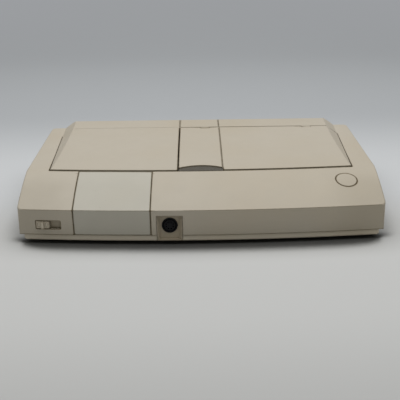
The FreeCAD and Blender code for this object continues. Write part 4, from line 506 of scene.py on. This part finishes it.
class CONSOLE_OT_controls(Piece, Operator):
    """Finish the open button with its spring and latch, and the power switch"""

    bl_idname = "console.controls"
    bl_label = "Button and switch"

    def work(self, looks):
        dress(aged_shell("button_ivory", scaled(looks.case, 1.01), looks, 0.05, 0.0004), "open_button")
        dress(aged_shell("knob_ivory", scaled(looks.case, 1.25), looks, 0.02, 0.0004, 0.55), "power_knob")
        dress(inner_plastic("switch_body", (0.06, 0.06, 0.062)), "power_switch")
        dress(inner_plastic("latch_plastic", (0.5, 0.5, 0.49)), "latch_slider", "lid_hook")
        self.wind_spring()

    def wind_spring(self):
        """Coil of round wire in the place of the button's spring, fixed to the console's body."""
        low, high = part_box("button_spring")
        middle = [(a + b) / 2 for a, b in zip(low, high)]
        length = high[2] - low[2]
        mesh = spring_mesh((high[0] - low[0]) / 2, length, SPRING_WIRE, SPRING_TURNS)
        mesh.transform(Matrix.Translation((middle[0], middle[1], low[2])))
        mesh.materials.append(ground_steel("spring_wire"))
        spring = bpy.data.objects.new("button_coil", mesh)
        bpy.context.scene.collection.objects.link(spring)
        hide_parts("button_spring")
        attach(spring, "console")
        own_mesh(spring)


class CONSOLE_OT_controller_socket(Piece, Operator):
    """Finish the round black controller socket"""

    bl_idname = "console.controller_socket"
    bl_label = "Controller socket"

    def work(self, looks):
        dress(inner_plastic("socket_black", (0.008, 0.008, 0.010), 0.42, dust=0.05, gloss=0.15),
              "controller_socket")


class CONSOLE_OT_card_bay(Piece, Operator):
    """Finish the bay behind the card door"""

    bl_idname = "console.card_bay"
    bl_label = "Card bay"

    def work(self, looks):
        dress(inner_plastic("bay_grey", scaled(looks.liner, 0.8)), "card_bezel")
        dress(inner_plastic("connector_black", (0.02, 0.02, 0.022)), "card_connector")
        dress(brushed_metal("contact_gold", (0.80, 0.62, 0.30)), "card_contacts")


class CONSOLE_OT_lid_inside(Piece, Operator):
    """Finish the lid's liner, the disc clamp and the hinge pins"""

    bl_idname = "console.lid_inside"
    bl_label = "Lid inside"

    def work(self, looks):
        dress(inner_plastic("liner_grey", looks.liner), "lid_liner", "clamp_cover")
        dress(inner_plastic("clamp_black", (0.03, 0.03, 0.032)), "clamp_puck")
        dress(ground_steel("pin_steel"), "lid_hinge_pins")


class CONSOLE_OT_drive(Piece, Operator):
    """Finish the disc well, chassis, motors, gears and pickup"""

    bl_idname = "console.drive"
    bl_label = "Disc drive"

    def work(self, looks):
        dress(inner_plastic("well_grey", scaled(looks.liner, 0.85)), "disc_well")
        dress(brushed_metal("chassis_sheet", (0.60, 0.61, 0.60)), "drive_chassis")
        dress(brushed_metal("motor_can", (0.64, 0.63, 0.61), (1.0, 1.0, 0.05)), "spindle_motor", "sled_motor")
        dress(soft_rubber("damper_rubber"), "chassis_dampers")
        dress(inner_plastic("turntable_black", (0.028, 0.028, 0.03)), "turntable_hub")
        dress(inner_plastic("sled_black", (0.024, 0.024, 0.026)), "pickup_sled")
        dress(ground_steel("rod_steel"), "guide_rods")
        dress(coated_lens("lens_and_ring"), "pickup_lens")
        dress(gear_plastic("greased_gears"), "feed_gear", "motor_pinion")


class CONSOLE_OT_boards(Piece, Operator):
    """Finish the main board, its chips and cans, and the shield"""

    bl_idname = "console.boards"
    bl_label = "Boards"

    def work(self, looks):
        dress(lacquered_board("main_lacquer", looks.board), "main_board")
        dress(chip_body("chip_black"), "board_chips")
        dress(capacitor_sleeve("can_sleeve"), "capacitors")
        dress(brushed_metal("shield_tin", (0.66, 0.66, 0.65)), "board_shield")


class CONSOLE_OT_rear_ports(Piece, Operator):
    """Finish the power jack, the picture and sound socket and the expansion connector"""

    bl_idname = "console.rear_ports"
    bl_label = "Rear ports"

    def work(self, looks):
        dress(inner_plastic("port_black", (0.022, 0.022, 0.024), 0.42), "dc_jack", "av_socket")
        dress(inner_plastic("expansion_black", (0.03, 0.03, 0.032), 0.5), "expansion_connector")


class CONSOLE_OT_underside(Piece, Operator):
    """Finish the rubber feet and all screws"""

    bl_idname = "console.underside"
    bl_label = "Feet and screws"

    def work(self, looks):
        dress(soft_rubber("foot_rubber"), "rubber_feet")
        dress(brushed_metal("screw_steel", (0.5, 0.5, 0.5), (1.0, 1.0, 1.0)), "case_screws", "board_screws")


# Stage

SWEEP_STEPS = 24
FILL_COLOUR = (0.985, 0.995, 0.83, 1.0)
SHADOW_COLOUR = (0.027, 0.027, 0.023)
SHADOW_REACH = 0.06


def paper_sweep(width, front, turn, radius, height):
    """Floor that curves up into a backdrop behind the console."""
    mesh = bpy.data.meshes.new("paper_sweep")
    form = bmesh.new()
    line = [(front, 0.0), (turn, 0.0)]
    line += [(turn + radius * math.sin(a), radius - radius * math.cos(a))
             for a in (math.pi / 2 * i / SWEEP_STEPS for i in range(1, SWEEP_STEPS + 1))]
    line.append((turn + radius, height))
    rows = [[form.verts.new((x, y, z)) for x in (-width, width)] for y, z in line]
    for (a, b), (c, d) in zip(rows, rows[1:]):
        form.faces.new((a, b, d, c)).smooth = True
    form.to_mesh(mesh)
    form.free()
    return bpy.data.objects.new("paper_sweep", mesh)


def paper(floor, back, distance):
    """Matte paper, darker in front and far behind, with the shadow under the console; it ends in one tone."""
    bench = Bench("paper")
    behind = bench.along("Y")
    base = bench.tint(behind.band(-0.46, -0.24), scaled(floor, 0.84), floor)
    base = bench.tint(behind.band(-0.1, 0.05), base, (floor[0] * 1.015, floor[1] * 1.035, floor[2] * 1.07))
    base = bench.tint(behind.band(0.115, 0.42), base, back)
    under = bench.crevice(SHADOW_REACH, 24).band(0.22, 0.44) * behind.band(-0.1, -0.085, 0.88, 0.35)
    base = bench.tint(under, base, SHADOW_COLOUR)
    away = bench.put("ShaderNodeVectorMath", {"operation": "LENGTH"},
                     {0: bench.place((1.0, 1.0, 0.0))}, out="Value")
    far = away.band(0.75, 1.5) * bench.put("ShaderNodeLightPath", out="Is Camera Ray")
    glow = bench.put("ShaderNodeEmission", None, {"Color": distance})
    lit = Flow(bench, bench.shader.outputs[0])
    faded = bench.put("ShaderNodeMixShader", None, {0: far, 1: lit, 2: glow})
    bench.feed(bench.tree.nodes["Material Output"].inputs["Surface"], faded)
    return bench.finish(Base_Color=base, Roughness=0.8, Specular_IOR_Level=0.15)


def lamp(scene, name, place, aim, size, power):
    """Soft rectangular lamp turned towards its aim."""
    light = bpy.data.lights.new(name, "AREA")
    light.shape = "RECTANGLE"
    light.size, light.size_y = size
    light.energy = power
    holder = bpy.data.objects.new(name, light)
    holder.location = place
    holder.rotation_euler = (Vector(aim) - Vector(place)).to_track_quat("-Z", "Y").to_euler()
    scene.collection.objects.link(holder)


class CONSOLE_OT_stage(Operator):
    """Lay the floor, the lamps and the camera"""

    bl_idname = "console.stage"
    bl_label = "Stage"

    def execute(self, context):
        scene = context.scene
        stage = scene.console_stage
        sweep = paper_sweep(width=3.0, front=-2.5, turn=0.9, radius=0.8, height=3.0)
        sweep.data.materials.append(paper(tuple(stage.floor), tuple(stage.back), tuple(stage.distance)))
        scene.collection.objects.link(sweep)
        lamp(scene, "overhead_softbox", place=(0.0, 0.15, 1.1), aim=(0.0, 0.15, 0.0), size=(2.2, 1.8),
             power=stage.lamp)
        world = bpy.data.worlds.new("surroundings")
        world.use_nodes = True
        self.light_surroundings(world.node_tree, stage)
        scene.world = world
        self.set_camera(scene, stage)
        scene.view_settings.view_transform = "Standard"
        return {"FINISHED"}

    def light_surroundings(self, tree, stage):
        """Dim warm light all round, which the camera and mirrors see in the tone of the distance."""
        fill = tree.nodes["Background"]
        fill.inputs["Color"].default_value = FILL_COLOUR
        fill.inputs["Strength"].default_value = stage.fill
        seen = tree.nodes.new("ShaderNodeBackground")
        seen.inputs["Color"].default_value = (*stage.distance, 1.0)
        path = tree.nodes.new("ShaderNodeLightPath")
        direct = tree.nodes["World Output"].inputs["Surface"]
        share = path.outputs["Is Camera Ray"]
        for kind in ("Is Glossy Ray", "Is Transmission Ray"):
            either = tree.nodes.new("ShaderNodeMath")
            either.operation = "MAXIMUM"
            tree.links.new(share, either.inputs[0])
            tree.links.new(path.outputs[kind], either.inputs[1])
            share = either.outputs[0]
        choice = tree.nodes.new("ShaderNodeMixShader")
        for source, socket in ((share, choice.inputs[0]), (fill.outputs[0], choice.inputs[1]),
                               (seen.outputs[0], choice.inputs[2]), (choice.outputs[0], direct)):
            tree.links.new(source, socket)

    def set_camera(self, scene, stage):
        """Camera at the photograph's place, turned by yaw and pitch and tilted by roll."""
        data = bpy.data.cameras.new("camera")
        data.lens = stage.lens
        data.sensor_width = 36.0
        data.clip_end = 20.0
        ahead = Vector((math.sin(stage.yaw) * math.cos(stage.pitch),
                        math.cos(stage.yaw) * math.cos(stage.pitch), -math.sin(stage.pitch)))
        right = Vector((math.cos(stage.yaw), -math.sin(stage.yaw), 0.0))
        down = ahead.cross(right)
        across = right * math.cos(stage.roll) + down * math.sin(stage.roll)
        below = down * math.cos(stage.roll) - right * math.sin(stage.roll)
        turn = Matrix((across, -below, -ahead)).transposed().to_4x4()
        camera = bpy.data.objects.new("camera", data)
        camera.matrix_world = Matrix.Translation(Vector(stage.eye)) @ turn
        scene.collection.objects.link(camera)
        scene.camera = camera


PIECES = (CONSOLE_OT_shells, CONSOLE_OT_card_door, CONSOLE_OT_indicator, CONSOLE_OT_controls,
          CONSOLE_OT_controller_socket, CONSOLE_OT_card_bay, CONSOLE_OT_lid_inside, CONSOLE_OT_drive,
          CONSOLE_OT_boards, CONSOLE_OT_rear_ports, CONSOLE_OT_underside, CONSOLE_OT_stage)


class CONSOLE_PT_panel(Panel):
    """Sidebar list of the console's pieces"""

    bl_idname = "CONSOLE_PT_panel"
    bl_label = "Game console"
    bl_space_type = "VIEW_3D"
    bl_region_type = "UI"
    bl_category = "Console"

    def draw(self, context):
        layout = self.layout
        for group in (context.scene.console_looks, context.scene.console_stage):
            box = layout.box()
            for name in group.bl_rna.properties.keys():
                if name not in {"rna_type", "name"}:
                    box.prop(group, name)
        for operator in PIECES:
            layout.operator(operator.bl_idname)


CLASSES = (ConsoleLooks, ConsoleStage, *PIECES, CONSOLE_PT_panel)


def register():
    for cls in CLASSES:
        bpy.utils.register_class(cls)
    bpy.types.Scene.console_looks = PointerProperty(type=ConsoleLooks)
    bpy.types.Scene.console_stage = PointerProperty(type=ConsoleStage)


def unregister():
    del bpy.types.Scene.console_stage
    del bpy.types.Scene.console_looks
    for cls in reversed(CLASSES):
        bpy.utils.unregister_class(cls)


def main():
    """Finishes the pieces in order."""
    register()
    for operator in PIECES:
        getattr(bpy.ops.console, operator.bl_idname.split(".")[1])()


if __name__ == "__main__":
    main()
